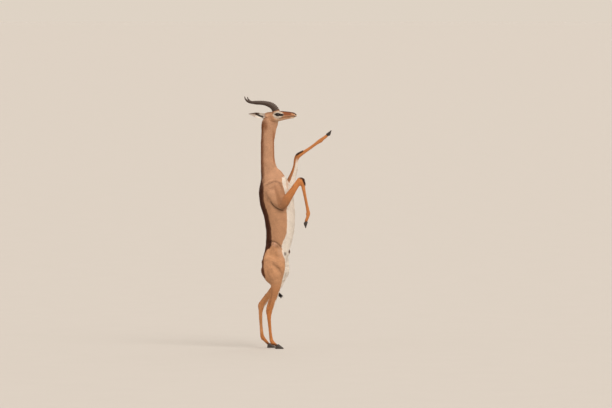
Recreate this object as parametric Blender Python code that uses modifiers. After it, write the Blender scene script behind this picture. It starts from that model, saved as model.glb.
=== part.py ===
"""Adult male gerenuk standing on its hind legs to browse, life size, still.

Metres, Z up. It faces +X, with its left side at +Y.
"""
import math
import random

import bmesh
import bpy
import numpy as np
from mathutils import Matrix, Vector

GAP = 0.0003  # between nodes that meet
BODY_STEP = 0.0040  # grain of the body's first surface
HEAD_STEP = 0.0021
BODY_FACES = 6200
HEAD_FACES = 3000

# The head is turned a little to the animal's right and tilted, about the top of its neck.
HEAD_PIVOT = Vector((-0.050, 0.0, 1.800))
HEAD_TURN = math.radians(-8.0)
HEAD_TILT = math.radians(-2.5)

EYE = Vector((0.013, 0.0325, 1.834))
EYE_RADIUS = 0.0165
NOSTRIL = (0.0070, 0.0026, 0.0040)  # half sizes
MOUTH = Vector((0.121, 0.0, 1.8205))
MOUTH_LENGTH = 0.074
HOOF_LENGTH = 0.066
HOOF_HEIGHT = 0.036
CLAW_WIDTH = 0.0195
FORE_HOOF_SCALE = 0.78

# Each row of a form: x, z, y on the animal's left, half depth, half width.
TRUNK = [
    (-0.046, 0.573, 0, 0.050, 0.047),
    (-0.046, 0.612, 0, 0.076, 0.072),
    (-0.027, 0.679, 0, 0.090, 0.080),
    (-0.002, 0.773, 0, 0.094, 0.078),
    (0.018, 0.867, 0, 0.105, 0.086),
    (0.024, 0.962, 0, 0.116, 0.096),
    (0.017, 1.056, 0, 0.125, 0.101),
    (0.002, 1.142, 0, 0.134, 0.100),
    (-0.012, 1.213, 0, 0.134, 0.092),
    (-0.024, 1.283, 0, 0.119, 0.079),
    (-0.041, 1.346, 0, 0.093, 0.060),
    (-0.062, 1.401, 0, 0.068, 0.047),
    (-0.0725, 1.480, 0, 0.0565, 0.041),
    (-0.0745, 1.574, 0, 0.0540, 0.039),
    (-0.0725, 1.652, 0, 0.0545, 0.039),
    (-0.065, 1.723, 0, 0.061, 0.042),
    (-0.053, 1.774, 0, 0.064, 0.044),
    (-0.049, 1.814, 0, 0.052, 0.040),
]
SKULL = [
    (-0.108, 1.824, 0, 0.018, 0.026),
    (-0.080, 1.821, 0, 0.034, 0.040),
    (-0.044, 1.818, 0, 0.040, 0.046),
    (-0.008, 1.822, 0, 0.041, 0.047),
    (0.028, 1.828, 0, 0.037, 0.041),
    (0.059, 1.831, 0, 0.032, 0.032),
    (0.090, 1.833, 0, 0.027, 0.0255),
    (0.118, 1.833, 0, 0.023, 0.0230),
    (0.137, 1.832, 0, 0.019, 0.0205),
    (0.149, 1.831, 0, 0.012, 0.0145),
]
FACE_FORMS = {
    "brow": [
        (-0.014, 1.848, 0.036, 0.008, 0.008),
        (0.010, 1.855, 0.0385, 0.009, 0.008),
        (0.034, 1.849, 0.031, 0.007, 0.007),
    ],
    "cheek": [
        (-0.048, 1.806, 0.030, 0.024, 0.014),
        (-0.020, 1.801, 0.034, 0.026, 0.015),
        (0.012, 1.803, 0.030, 0.016, 0.011),
    ],
    "cheekbone": [
        (-0.018, 1.823, 0.042, 0.008, 0.008),
        (0.014, 1.8155, 0.040, 0.009, 0.008),
        (0.048, 1.8205, 0.029, 0.008, 0.008),
    ],
    "jaw": [
        (-0.044, 1.793, 0.020, 0.013, 0.016),
        (0.000, 1.793, 0.019, 0.012, 0.014),
        (0.050, 1.803, 0.014, 0.010, 0.011),
        (0.095, 1.811, 0.010, 0.008, 0.011),
        (0.132, 1.816, 0.006, 0.007, 0.010),
    ],
    "lip": [
        (0.086, 1.824, 0.0200, 0.006, 0.006),
        (0.115, 1.825, 0.0180, 0.006, 0.006),
        (0.139, 1.827, 0.0120, 0.006, 0.006),
    ],
    "nose": [(0.126, 1.843, 0.0090, 0.009, 0.009), (0.145, 1.838, 0.0080, 0.008, 0.0075)],
    "horn_root": [(-0.002, 1.836, 0.022, 0.030, 0.025), (-0.008, 1.857, 0.026, 0.0290, 0.0260)],
    "ear_root": [(-0.060, 1.821, 0.028, 0.018, 0.013), (-0.084, 1.822, 0.040, 0.0125, 0.0105)],
}
HORN = [
    (-0.004, 1.842, 0.025, 0.0232, 0.0205),
    (-0.011, 1.868, 0.029, 0.0246, 0.0215),
    (-0.029, 1.895, 0.035, 0.0228, 0.0203),
    (-0.058, 1.914, 0.045, 0.0210, 0.0190),
    (-0.098, 1.925, 0.060, 0.0174, 0.0160),
    (-0.144, 1.928, 0.073, 0.0149, 0.0139),
    (-0.186, 1.929, 0.080, 0.0123, 0.0116),
    (-0.219, 1.937, 0.081, 0.0096, 0.0091),
    (-0.239, 1.955, 0.078, 0.0062, 0.0060),
    (-0.247, 1.975, 0.074, 0.0026, 0.0026),
]
HORN_RINGS = 12
EAR_ROOT = Vector((-0.084, 0.040, 1.821))
EAR_TIP = Vector((-0.214, 0.092, 1.840))
EAR_WIDTH = 0.0215  # half
EAR_CUP = 0.013
EAR_THICKNESS = 0.0032

# Forms that the two sides share.
SHARED_FORMS = {
    "scapula": [
        (-0.112, 1.215, 0.036, 0.030, 0.014),
        (-0.096, 1.232, 0.050, 0.044, 0.022),
        (-0.055, 1.256, 0.060, 0.058, 0.027),
        (-0.012, 1.272, 0.066, 0.056, 0.030),
    ],
    "haunch": [
        (-0.058, 0.820, 0.034, 0.020, 0.018),
        (-0.072, 0.745, 0.046, 0.032, 0.027),
        (-0.070, 0.680, 0.056, 0.045, 0.036),
        (-0.064, 0.615, 0.064, 0.049, 0.038),
        (-0.050, 0.568, 0.068, 0.036, 0.030),
    ],
}
RIGHT_FORMS = {
    "flank": [
        (-0.006, 0.850, 0.046, 0.024, 0.016),
        (0.004, 0.789, 0.055, 0.035, 0.023),
        (0.020, 0.710, 0.066, 0.043, 0.031),
        (0.022, 0.640, 0.078, 0.044, 0.037),
    ],
    "thigh": [
        (-0.067, 0.695, 0.052, 0.060, 0.044),
        (-0.043, 0.640, 0.066, 0.082, 0.050),
        (-0.028, 0.577, 0.077, 0.079, 0.048),
        (-0.006, 0.522, 0.084, 0.050, 0.040),
    ],
    "stifle": [
        (0.022, 0.640, 0.080, 0.044, 0.034),
        (0.015, 0.577, 0.086, 0.037, 0.034),
        (0.003, 0.522, 0.087, 0.032, 0.031),
    ],
    "shank": [
        (-0.008, 0.530, 0.084, 0.050, 0.038),
        (-0.011, 0.467, 0.086, 0.037, 0.030),
        (-0.026, 0.404, 0.084, 0.031, 0.024),
        (-0.043, 0.349, 0.081, 0.026, 0.0195),
        (-0.058, 0.297, 0.078, 0.0235, 0.019),
        (-0.063, 0.255, 0.077, 0.018, 0.0168),
        (-0.060, 0.208, 0.077, 0.0145, 0.0142),
        (-0.053, 0.130, 0.077, 0.013, 0.0132),
        (-0.046, 0.076, 0.077, 0.015, 0.0155),
        (-0.038, 0.053, 0.077, 0.0165, 0.0175),
        (-0.018, 0.036, 0.077, 0.013, 0.016),
        (-0.002, 0.026, 0.077, 0.011, 0.015),
    ],
    "tendon": [
        (-0.052, 0.395, 0.084, 0.010, 0.009),
        (-0.073, 0.335, 0.080, 0.0095, 0.008),
        (-0.079, 0.294, 0.078, 0.009, 0.010),
        (-0.0755, 0.266, 0.077, 0.007, 0.009),
    ],
    "humerus": [
        (-0.004, 1.290, 0.058, 0.044, 0.030),
        (0.020, 1.221, 0.078, 0.044, 0.033),
        (0.038, 1.150, 0.098, 0.038, 0.029),
    ],
    "triceps": [
        (-0.067, 1.244, 0.062, 0.050, 0.028),
        (-0.031, 1.193, 0.078, 0.058, 0.034),
        (0.008, 1.150, 0.092, 0.046, 0.031),
        (0.040, 1.118, 0.103, 0.030, 0.026),
    ],
    "forearm": [
        (0.036, 1.118, 0.106, 0.032, 0.026),
        (0.059, 1.147, 0.116, 0.037, 0.026),
        (0.086, 1.188, 0.118, 0.0345, 0.0245),
        (0.119, 1.235, 0.110, 0.0285, 0.020),
        (0.152, 1.285, 0.099, 0.0245, 0.0178),
        (0.175, 1.316, 0.096, 0.0255, 0.0182),
        (0.186, 1.328, 0.095, 0.026, 0.0185),
    ],
    "cannon": [
        (0.190, 1.324, 0.095, 0.022, 0.0185),
        (0.201, 1.296, 0.094, 0.0205, 0.0177),
        (0.207, 1.262, 0.093, 0.016, 0.0155),
        (0.218, 1.205, 0.090, 0.0135, 0.0132),
        (0.232, 1.134, 0.086, 0.013, 0.013),
        (0.242, 1.083, 0.083, 0.015, 0.0145),
        (0.245, 1.061, 0.082, 0.017, 0.0165),
        (0.240, 1.035, 0.081, 0.0135, 0.015),
        (0.230, 1.009, 0.080, 0.0135, 0.0155),
        (0.225, 0.992, 0.080, 0.011, 0.014),
    ],
}
LEFT_FORMS = {
    "flank": [
        (-0.006, 0.850, 0.046, 0.024, 0.016),
        (0.006, 0.789, 0.055, 0.036, 0.023),
        (0.034, 0.715, 0.064, 0.052, 0.030),
        (0.045, 0.650, 0.076, 0.054, 0.034),
    ],
    "thigh": [
        (-0.063, 0.695, 0.052, 0.062, 0.044),
        (-0.024, 0.648, 0.066, 0.086, 0.050),
        (0.010, 0.597, 0.077, 0.080, 0.048),
        (0.019, 0.542, 0.084, 0.056, 0.041),
    ],
    "stifle": [
        (0.044, 0.645, 0.078, 0.052, 0.034),
        (0.047, 0.597, 0.085, 0.048, 0.034),
        (0.034, 0.545, 0.087, 0.036, 0.031),
    ],
    "shank": [
        (0.018, 0.548, 0.084, 0.053, 0.039),
        (-0.001, 0.491, 0.086, 0.040, 0.031),
        (-0.040, 0.441, 0.084, 0.0315, 0.0245),
        (-0.081, 0.389, 0.081, 0.027, 0.0195),
        (-0.117, 0.338, 0.078, 0.026, 0.019),
        (-0.129, 0.292, 0.077, 0.018, 0.0168),
        (-0.130, 0.239, 0.077, 0.0145, 0.0142),
        (-0.126, 0.169, 0.077, 0.013, 0.0132),
        (-0.120, 0.106, 0.077, 0.015, 0.0155),
        (-0.113, 0.081, 0.077, 0.0165, 0.0175),
        (-0.087, 0.050, 0.077, 0.013, 0.016),
        (-0.068, 0.030, 0.077, 0.011, 0.015),
    ],
    "tendon": [
        (-0.080, 0.425, 0.083, 0.010, 0.009),
        (-0.118, 0.376, 0.080, 0.009, 0.008),
        (-0.142, 0.338, 0.078, 0.009, 0.010),
        (-0.1425, 0.306, 0.077, 0.007, 0.009),
    ],
    "humerus": [
        (-0.004, 1.290, 0.058, 0.044, 0.030),
        (0.040, 1.264, 0.080, 0.042, 0.032),
        (0.082, 1.254, 0.096, 0.036, 0.028),
    ],
    "triceps": [
        (-0.067, 1.244, 0.062, 0.050, 0.028),
        (-0.012, 1.222, 0.078, 0.052, 0.034),
        (0.040, 1.214, 0.092, 0.044, 0.031),
        (0.078, 1.232, 0.100, 0.032, 0.026),
    ],
    "forearm": [
        (0.062, 1.215, 0.096, 0.034, 0.028),
        (0.086, 1.260, 0.102, 0.0385, 0.028),
        (0.110, 1.319, 0.101, 0.033, 0.025),
        (0.126, 1.362, 0.098, 0.0275, 0.022),
        (0.139, 1.401, 0.095, 0.0235, 0.019),
        (0.145, 1.437, 0.092, 0.0195, 0.0175),
        (0.149, 1.476, 0.089, 0.019, 0.0172),
        (0.158, 1.502, 0.087, 0.0215, 0.0185),
    ],
    "cannon": [
        (0.156, 1.500, 0.087, 0.0195, 0.0185),
        (0.173, 1.515, 0.085, 0.0195, 0.0178),
        (0.204, 1.535, 0.081, 0.0155, 0.0152),
        (0.251, 1.566, 0.073, 0.0135, 0.0132),
        (0.294, 1.597, 0.066, 0.013, 0.013),
        (0.322, 1.618, 0.061, 0.015, 0.0145),
        (0.338, 1.629, 0.058, 0.017, 0.0165),
        (0.361, 1.646, 0.055, 0.0135, 0.015),
        (0.383, 1.663, 0.053, 0.0135, 0.0155),
        (0.396, 1.673, 0.052, 0.011, 0.014),
    ],
}
SHEATH = [
    (0.050, 0.690, 0, 0.016, 0.016),
    (0.080, 0.738, 0, 0.015, 0.014),
    (0.0955, 0.766, 0, 0.010, 0.010),
]
TAIL = [
    (-0.085, 0.665, 0, 0.018, 0.020),
    (-0.112, 0.620, 0, 0.0155, 0.0165),
    (-0.104, 0.576, 0, 0.013, 0.013),
    (-0.076, 0.547, 0, 0.0125, 0.0125),
    (-0.047, 0.525, 0, 0.011, 0.011),
    (-0.032, 0.486, 0, 0.0095, 0.0095),
    (-0.014, 0.452, 0, 0.0085, 0.0085),
    (0.008, 0.431, 0, 0.007, 0.007),
    (0.022, 0.420, 0, 0.0045, 0.0045),
]
TUFT_LOCKS = 15
TUFT_LENGTH = 0.062

# Standing feet: heel x, side. Raised feet: coronet, toe and sole direction.
HIND_HEELS = {"right": -0.014, "left": -0.078}
HIND_STANCE = 0.077
RAISED_FEET = {
    "right": (Vector((0.228, -0.080, 1.000)), Vector((0.214, -0.079, 0.953)), Vector((-0.95, 0.0, 0.30))),
    "left": (Vector((0.392, 0.052, 1.671)), Vector((0.432, 0.050, 1.701)), Vector((0.62, 0.0, -0.78))),
}
SIDES = {"right": -1, "left": 1}

# Where the nodes part: a point, the direction across the cut, and half sizes of the thin plate.
CUTS = {
    "neck": ((-0.060, 0.0, 1.385), (-0.25, 0.0, 0.97), 0.105, 0.100),
    "elbow_right": ((0.067, -0.116, 1.205), (1.0, 0.0, 0.06), 0.105, 0.038),
    "elbow_left": ((0.101, 0.106, 1.297), (0.38, 0.0, 0.92), 0.050, 0.036),
    "armpit_right": ((0.115, -0.0890, 1.210), (0.0, 1.0, 0.0), 0.0495, 0.100),
    "knee_right": ((0.206, -0.093, 1.266), (0.22, 0.0, -0.975), 0.022, 0.030),
    "knee_left": ((0.184, 0.084, 1.522), (0.83, 0.0, 0.56), 0.026, 0.030),
    "hip_right": ((-0.020, -0.0735, 0.6375), (0.0, -0.846, -0.533), 0.170, 0.140),
    "hip_left": ((-0.020, 0.0735, 0.6375), (0.0, 0.846, -0.533), 0.170, 0.140),
    "stifle_right": ((-0.008, -0.085, 0.496), (-0.07, 0.0, -1.0), 0.085, 0.070),
    "stifle_left": ((0.010, 0.085, 0.512), (-0.38, 0.0, -0.92), 0.085, 0.070),
    "hock_right": ((-0.063, -0.077, 0.262), (0.0, 0.0, -1.0), 0.035, 0.035),
    "hock_left": ((-0.130, 0.077, 0.300), (0.0, 0.0, -1.0), 0.035, 0.035),
}
HEAD_CUT = (Vector((-0.058, 0.0, 1.761)), Vector((-0.12, 0.0, 0.993)))
# A point inside each node of the body, which names the pieces after the cuts.
ANCHORS = {
    "neck": (-0.071, 0.0, 1.560), "torso": (0.017, 0.0, 1.000),
    "thigh_right": (-0.030, -0.080, 0.600), "thigh_left": (0.005, 0.080, 0.610),
    "shank_right": (-0.012, -0.086, 0.440), "shank_left": (-0.030, 0.085, 0.450),
    "hind_foot_right": (-0.055, -0.077, 0.160), "hind_foot_left": (-0.126, 0.077, 0.180),
    "forearm_right": (0.122, -0.104, 1.230), "forearm_left": (0.135, 0.096, 1.390),
    "fore_foot_right": (0.225, -0.088, 1.170), "fore_foot_left": (0.270, 0.070, 1.580),
}

TAN = (0.55, 0.29, 0.16)
FAWN = (0.60, 0.36, 0.22)
RUFOUS = (0.58, 0.25, 0.09)
HORN_BROWN = (0.10, 0.075, 0.06)
EYE_BROWN = (0.02, 0.012, 0.008)
HOOF_GREY = (0.035, 0.033, 0.035)


def new_collection(name):
    made = bpy.data.collections.new(name)
    bpy.context.scene.collection.children.link(made)
    return made


def clear_scene():
    for old in list(bpy.data.objects):
        bpy.data.objects.remove(old, do_unlink=True)
    for old in list(bpy.data.collections):
        bpy.data.collections.remove(old)


def material(name, colour, roughness):
    made = bpy.data.materials.new(name)
    made.use_nodes = True
    shader = made.node_tree.nodes["Principled BSDF"]
    shader.inputs["Base Color"].default_value = (*colour, 1.0)
    shader.inputs["Roughness"].default_value = roughness
    shader.inputs["Metallic"].default_value = 0.0
    return made


def coat(name, colour):
    return material("coat_" + name, colour, 0.8)


def smooth_rows(rows, steps):
    """More rows along a smooth curve through the given ones."""
    rows = np.array(rows, float)
    ends = np.vstack([2 * rows[0] - rows[1], rows, 2 * rows[-1] - rows[-2]])
    made = []
    for before, start, end, after in zip(ends, ends[1:], ends[2:], ends[3:]):
        for t in np.arange(steps) / steps:
            square = (2 * before - 5 * start + 4 * end - after) * t**2
            cube = (3 * start - before - 3 * end + after) * t**3
            made.append(start + 0.5 * ((end - before) * t + square + cube))
    made.append(rows[-1])
    return np.array(made)


def loft(rows, side=1, sides=20, steps=4, egg=0.0, across=(0.0, 1.0, 0.0), ripple=None):
    """Points and faces of a closed form with an oval ring at each row. egg makes the front narrower."""
    rows = smooth_rows(rows, steps)
    spine = rows[:, [0, 2, 1]] * (1, side, 1)
    ahead = np.gradient(spine, axis=0)
    ahead /= np.linalg.norm(ahead, axis=1)[:, None]
    angles = np.linspace(0, 2 * math.pi, sides, endpoint=False)
    points = []
    tip = 0.8 * np.minimum(rows[:, 3], rows[:, 4])
    caps = [(0, -1, 0.97, 0.25), (0, -1, 0.80, 0.60), (0, -1, 0.50, 0.86)]
    plan = [(0, -shift * tip[0], scale) for _, _, scale, shift in reversed(caps)]
    plan += [(i, 0.0, 1.0) for i in range(len(rows))]
    plan += [(len(rows) - 1, shift * tip[-1], scale) for _, _, scale, shift in caps]
    for i, shift, scale in plan:
        forward = ahead[i]
        wide = np.array(across) - forward * np.dot(across, forward)
        wide /= np.linalg.norm(wide)
        deep = np.cross(wide, forward)
        swell = scale * (1.0 if ripple is None else ripple(i / (len(rows) - 1)))
        centre = spine[i] + forward * shift
        for angle in angles:
            front = math.cos(angle)
            width = rows[i, 4] * math.sin(angle) * (1 + egg * front)
            points.append(centre + swell * (deep * rows[i, 3] * front + wide * width))
    rings = len(plan)
    first, last = len(points), len(points) + 1
    points.append(spine[0] - ahead[0] * tip[0])
    points.append(spine[-1] + ahead[-1] * tip[-1])
    faces = []
    for k in range(rings - 1):
        for j in range(sides):
            near, far = k * sides, (k + 1) * sides
            faces.append((near + j, near + (j + 1) % sides, far + (j + 1) % sides, far + j))
    end = (rings - 1) * sides
    for j in range(sides):
        faces.append((first, (j + 1) % sides, j))
        faces.append((last, end + j, end + (j + 1) % sides))
    return [Vector(p) for p in points], faces


def make_object(name, pieces, collection):
    """One mesh object of several closed forms, each facing outward."""
    bm = bmesh.new()
    for points, faces in pieces:
        made = [bm.verts.new(p) for p in points]
        for face in faces:
            bm.faces.new([made[i] for i in face])
    bmesh.ops.recalc_face_normals(bm, faces=bm.faces)
    mesh = bpy.data.meshes.new(name)
    bm.to_mesh(mesh)
    bm.free()
    obj = bpy.data.objects.new(name, mesh)
    collection.objects.link(obj)
    return obj


def as_helper(obj):
    obj.hide_render = True
    obj.display_type = "WIRE"
    return obj


def apply_modifiers(obj):
    bpy.context.view_layer.update()
    graph = bpy.context.evaluated_depsgraph_get()
    mesh = bpy.data.meshes.new_from_object(obj.evaluated_get(graph))
    obj.modifiers.clear()
    old = obj.data
    obj.data = mesh
    bpy.data.meshes.remove(old)


def boolean(obj, cutter, operation="DIFFERENCE"):
    cut = obj.modifiers.new("cut", "BOOLEAN")
    cut.operation = operation
    cut.solver = "MANIFOLD"
    cut.object = cutter
    apply_modifiers(obj)


def loose_parts(mesh):
    """The face lists of each closed surface of a mesh, and its volume."""
    bm = bmesh.new()
    bm.from_mesh(mesh)
    bm.faces.ensure_lookup_table()
    group = [-1] * len(bm.faces)
    volumes = []
    for start in bm.faces:
        if group[start.index] >= 0:
            continue
        number = len(volumes)
        group[start.index] = number
        stack = [start]
        volume = 0.0
        while stack:
            face = stack.pop()
            corners = [v.co for v in face.verts]
            for b, c in zip(corners[1:], corners[2:]):
                volume += corners[0].dot(b.cross(c)) / 6
            for edge in face.edges:
                for other in edge.link_faces:
                    if group[other.index] < 0:
                        group[other.index] = number
                        stack.append(other)
        volumes.append(volume)
    bm.free()
    return group, volumes


def keep_part(mesh, group, number):
    bm = bmesh.new()
    bm.from_mesh(mesh)
    bm.faces.ensure_lookup_table()
    drop = [face for face in bm.faces if group[face.index] != number]
    bmesh.ops.delete(bm, geom=drop, context="FACES")
    bm.to_mesh(mesh)
    bm.free()


def keep_largest(obj):
    group, volumes = loose_parts(obj.data)
    if len(volumes) > 1:
        keep_part(obj.data, group, volumes.index(max(volumes)))


def grown(obj, by, collection):
    """A copy of a solid, a little larger on every side, to cut with."""
    copy = bpy.data.objects.new(obj.name + "_grown", obj.data.copy())
    copy.matrix_world = obj.matrix_world
    collection.objects.link(copy)
    swell = copy.modifiers.new("swell", "DISPLACE")
    swell.strength = by
    swell.mid_level = 0.0
    apply_modifiers(copy)
    return as_helper(copy)


def flesh(name, pieces, step, faces, smoothing, collection):
    """The forms fused into one smooth skin and thinned to a number of triangles."""
    obj = make_object(name, pieces, collection)
    fuse = obj.modifiers.new("fuse", "REMESH")
    fuse.mode = "VOXEL"
    fuse.voxel_size = step
    soften = obj.modifiers.new("soften", "SMOOTH")
    soften.factor = 0.5
    soften.iterations = smoothing
    apply_modifiers(obj)
    keep_largest(obj)
    thin = obj.modifiers.new("thin", "DECIMATE")
    thin.ratio = faces / (2 * len(obj.data.polygons))
    thin.use_collapse_triangulate = True
    apply_modifiers(obj)
    keep_largest(obj)
    return obj


def plate(name, point, normal, half_x, half_y, thickness, collection):
    """A thin box across a limb. Its first side lies as near to X as the cut allows."""
    normal = Vector(normal).normalized()
    first = Vector((1, 0, 0)) - normal * normal.x
    first.normalize()
    second = normal.cross(first)
    turn = Matrix((first, second, normal)).transposed().to_4x4()
    bm = bmesh.new()
    bmesh.ops.create_cube(bm, size=1.0)
    size = Matrix.Diagonal((2 * half_x, 2 * half_y, thickness, 1))
    bm.transform(Matrix.Translation(Vector(point)) @ turn @ size)
    mesh = bpy.data.meshes.new(name)
    bm.to_mesh(mesh)
    bm.free()
    obj = bpy.data.objects.new(name, mesh)
    collection.objects.link(obj)
    return as_helper(obj)


def head_place():
    turn = Matrix.Rotation(HEAD_TURN, 4, "Z") @ Matrix.Rotation(HEAD_TILT, 4, "X")
    return Matrix.Translation(HEAD_PIVOT) @ turn @ Matrix.Translation(-HEAD_PIVOT)


def turned(piece):
    points, faces = piece
    place = head_place()
    return [place @ p for p in points], faces


def finish(obj, name, look, collection):
    """Names a node, gives it its material and smooth shading, and puts it with the animal."""
    obj.name = name
    obj.data.name = name
    obj.hide_render = False
    obj.display_type = "TEXTURED"
    for holder in list(obj.users_collection):
        holder.objects.unlink(obj)
    collection.objects.link(obj)
    obj.data.materials.clear()
    obj.data.materials.append(look)
    obj.data.polygons.foreach_set("use_smooth", [True] * len(obj.data.polygons))
    return obj


def limb_forms():
    pieces = []
    for side, own in (("right", RIGHT_FORMS), ("left", LEFT_FORMS)):
        for rows in list(SHARED_FORMS.values()) + list(own.values()):
            pieces.append(loft(rows, SIDES[side], sides=16))
        # The two small false hooves behind each fetlock.
        for bone, row in (("shank", 9), ("cannon", 6)):
            x, z, y, depth, width = own[bone][row]
            below = own[bone][row + 1]
            along = Vector((below[0] - x, 0, below[1] - z)).normalized()
            back = Vector((along.z, 0, -along.x))
            if bone == "shank" or side == "right":
                back = -back if back.x > 0 else back
            for offset in (-0.008, 0.008):
                start = Vector((x, y + offset, z)) + back * depth * 0.6
                end = Vector((x, y + offset, z)) + back * (depth + 0.001) + along * 0.007
                rows = [(start.x, start.z, start.y, 0.006, 0.0055), (end.x, end.z, end.y, 0.005, 0.0050)]
                pieces.append(loft(rows, SIDES[side], sides=8, steps=1))
    return pieces


def skull_forms():
    pieces = [turned(loft(SKULL, sides=28))]
    for rows in FACE_FORMS.values():
        for side in (-1, 1):
            pieces.append(turned(loft(rows, side, sides=16)))
    return pieces


def eye_shape(name, radius, side, collection):
    bm = bmesh.new()
    centre = Vector((EYE.x, side * EYE.y, EYE.z))
    place = head_place() @ Matrix.Translation(centre)
    bmesh.ops.create_uvsphere(bm, u_segments=14, v_segments=8, radius=radius, matrix=place)
    mesh = bpy.data.meshes.new(name)
    bm.to_mesh(mesh)
    bm.free()
    obj = bpy.data.objects.new(name, mesh)
    collection.objects.link(obj)
    return obj


def ball(centre, radii, place, name, collection):
    bm = bmesh.new()
    size = Matrix.Diagonal((*radii, 1))
    whole = place @ Matrix.Translation(centre) @ size
    bmesh.ops.create_icosphere(bm, subdivisions=2, radius=1.0, matrix=whole)
    mesh = bpy.data.meshes.new(name)
    bm.to_mesh(mesh)
    bm.free()
    obj = bpy.data.objects.new(name, mesh)
    collection.objects.link(obj)
    return as_helper(obj)


def horn_ripple(t):
    """Rings of the male's horn, strong at the base and gone near the tip."""
    height = 0.085 * max(0.0, 1 - (t / 0.80) ** 3)
    return 1 + height * (0.5 + 0.5 * math.cos(2 * math.pi * HORN_RINGS * t / 0.80))


def build_horn(side, collection):
    pieces = [turned(loft(HORN, side, sides=10, steps=5, ripple=horn_ripple))]
    return make_object("horn", pieces, collection)


def build_ear(side, collection):
    """A leaf shaped cup: crescent sections from the root tube to the tip."""
    root = Vector((EAR_ROOT.x, side * EAR_ROOT.y, EAR_ROOT.z))
    tip = Vector((EAR_TIP.x, side * EAR_TIP.y, EAR_TIP.z))
    ahead = (tip - root).normalized()
    opening = Vector((0.30, side * 1.0, -0.10))
    opening = (opening - ahead * opening.dot(ahead)).normalized()
    across = ahead.cross(opening)
    sections, arc = 11, 7
    points = []
    for i in range(sections):
        t = i / (sections - 1)
        leaf = 0.42 + 0.58 * math.sin(math.pi * min(1.0, t / 0.9) ** 0.75)
        width = EAR_WIDTH * leaf * (1 - t**6) + 0.0012
        cup = EAR_CUP * (1 - 0.75 * t)
        centre = root.lerp(tip, t) + opening * (-0.004 * math.sin(math.pi * t))
        wall = EAR_THICKNESS * (1.3 - 0.7 * t)
        for sign, inset in ((1, 0.0), (-1, 1.0)):
            for j in range(arc):
                u = -1 + 2 * j / (arc - 1)
                u = u * sign
                deep = -cup * (1 - u * u) + wall * inset * (1 - 0.45 * u * u)
                rim = width * (1 - 0.10 * inset)
                points.append(centre + across * rim * u + opening * deep)
    ring = 2 * arc
    faces = []
    for i in range(sections - 1):
        for j in range(ring):
            a, b = i * ring, (i + 1) * ring
            faces.append((a + j, a + (j + 1) % ring, b + (j + 1) % ring, b + j))
    for base in (0, (sections - 1) * ring):
        for j in range(arc - 1):
            k = ring - 1 - j
            faces.append((base + j, base + j + 1, base + k - 1, base + k))
    return make_object("ear", [turned((points, faces))], collection)


def claw(place, outer, name, collection):
    """One of the two hooves of a foot, with a flat sole. Local X runs from heel to toe and Z up."""
    # Each section: share of the length, of the height and of the width.
    sections = [
        (0.00, 0.50, 0.62),
        (0.10, 0.78, 0.88),
        (0.35, 1.00, 1.00),
        (0.60, 0.74, 0.98),
        (0.82, 0.42, 0.80),
        (0.96, 0.22, 0.52),
        (1.00, 0.12, 0.30),
    ]
    arc = 7
    points = []
    for t, high, wide in sections:
        half = 0.5 * CLAW_WIDTH * wide
        # The toes curve in towards each other.
        middle = outer * (0.5 * CLAW_WIDTH + 0.0006 - 0.0030 * max(0.0, t - 0.5))
        for j in range(arc):
            angle = math.pi * j / (arc - 1)
            top = HOOF_HEIGHT * high * (math.sin(angle) ** 0.7 if 0 < j < arc - 1 else 0.0)
            lean = -0.12 * top * outer * max(0.0, outer * math.cos(angle))
            points.append(Vector((t * HOOF_LENGTH, middle + half * math.cos(angle) + lean, max(top, 0.0))))
    faces = []
    for i in range(len(sections) - 1):
        for j in range(arc):
            a, b = i * arc, (i + 1) * arc
            faces.append((a + j, a + (j + 1) % arc, b + (j + 1) % arc, b + j))
    faces.append(tuple(range(arc)))
    faces.append(tuple(range((len(sections) - 1) * arc, len(sections) * arc)))
    obj = make_object(name, [([place @ p for p in points], faces)], collection)
    return obj


def foot_places():
    """The frame of each foot's pair of hooves."""
    places = {}
    for name, side in SIDES.items():
        places["hind_" + name] = Matrix.Translation((HIND_HEELS[name], side * HIND_STANCE, 0.0))
        heel, toe, up = RAISED_FEET[name]
        ahead = (toe - heel).normalized()
        up = (up - ahead * up.dot(ahead)).normalized()
        left = up.cross(ahead)
        turn = Matrix((ahead, left, up)).transposed().to_4x4()
        small = Matrix.Scale(FORE_HOOF_SCALE, 4)
        places["fore_" + name] = Matrix.Translation(heel - up * 0.014) @ turn @ small
    return places


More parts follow.
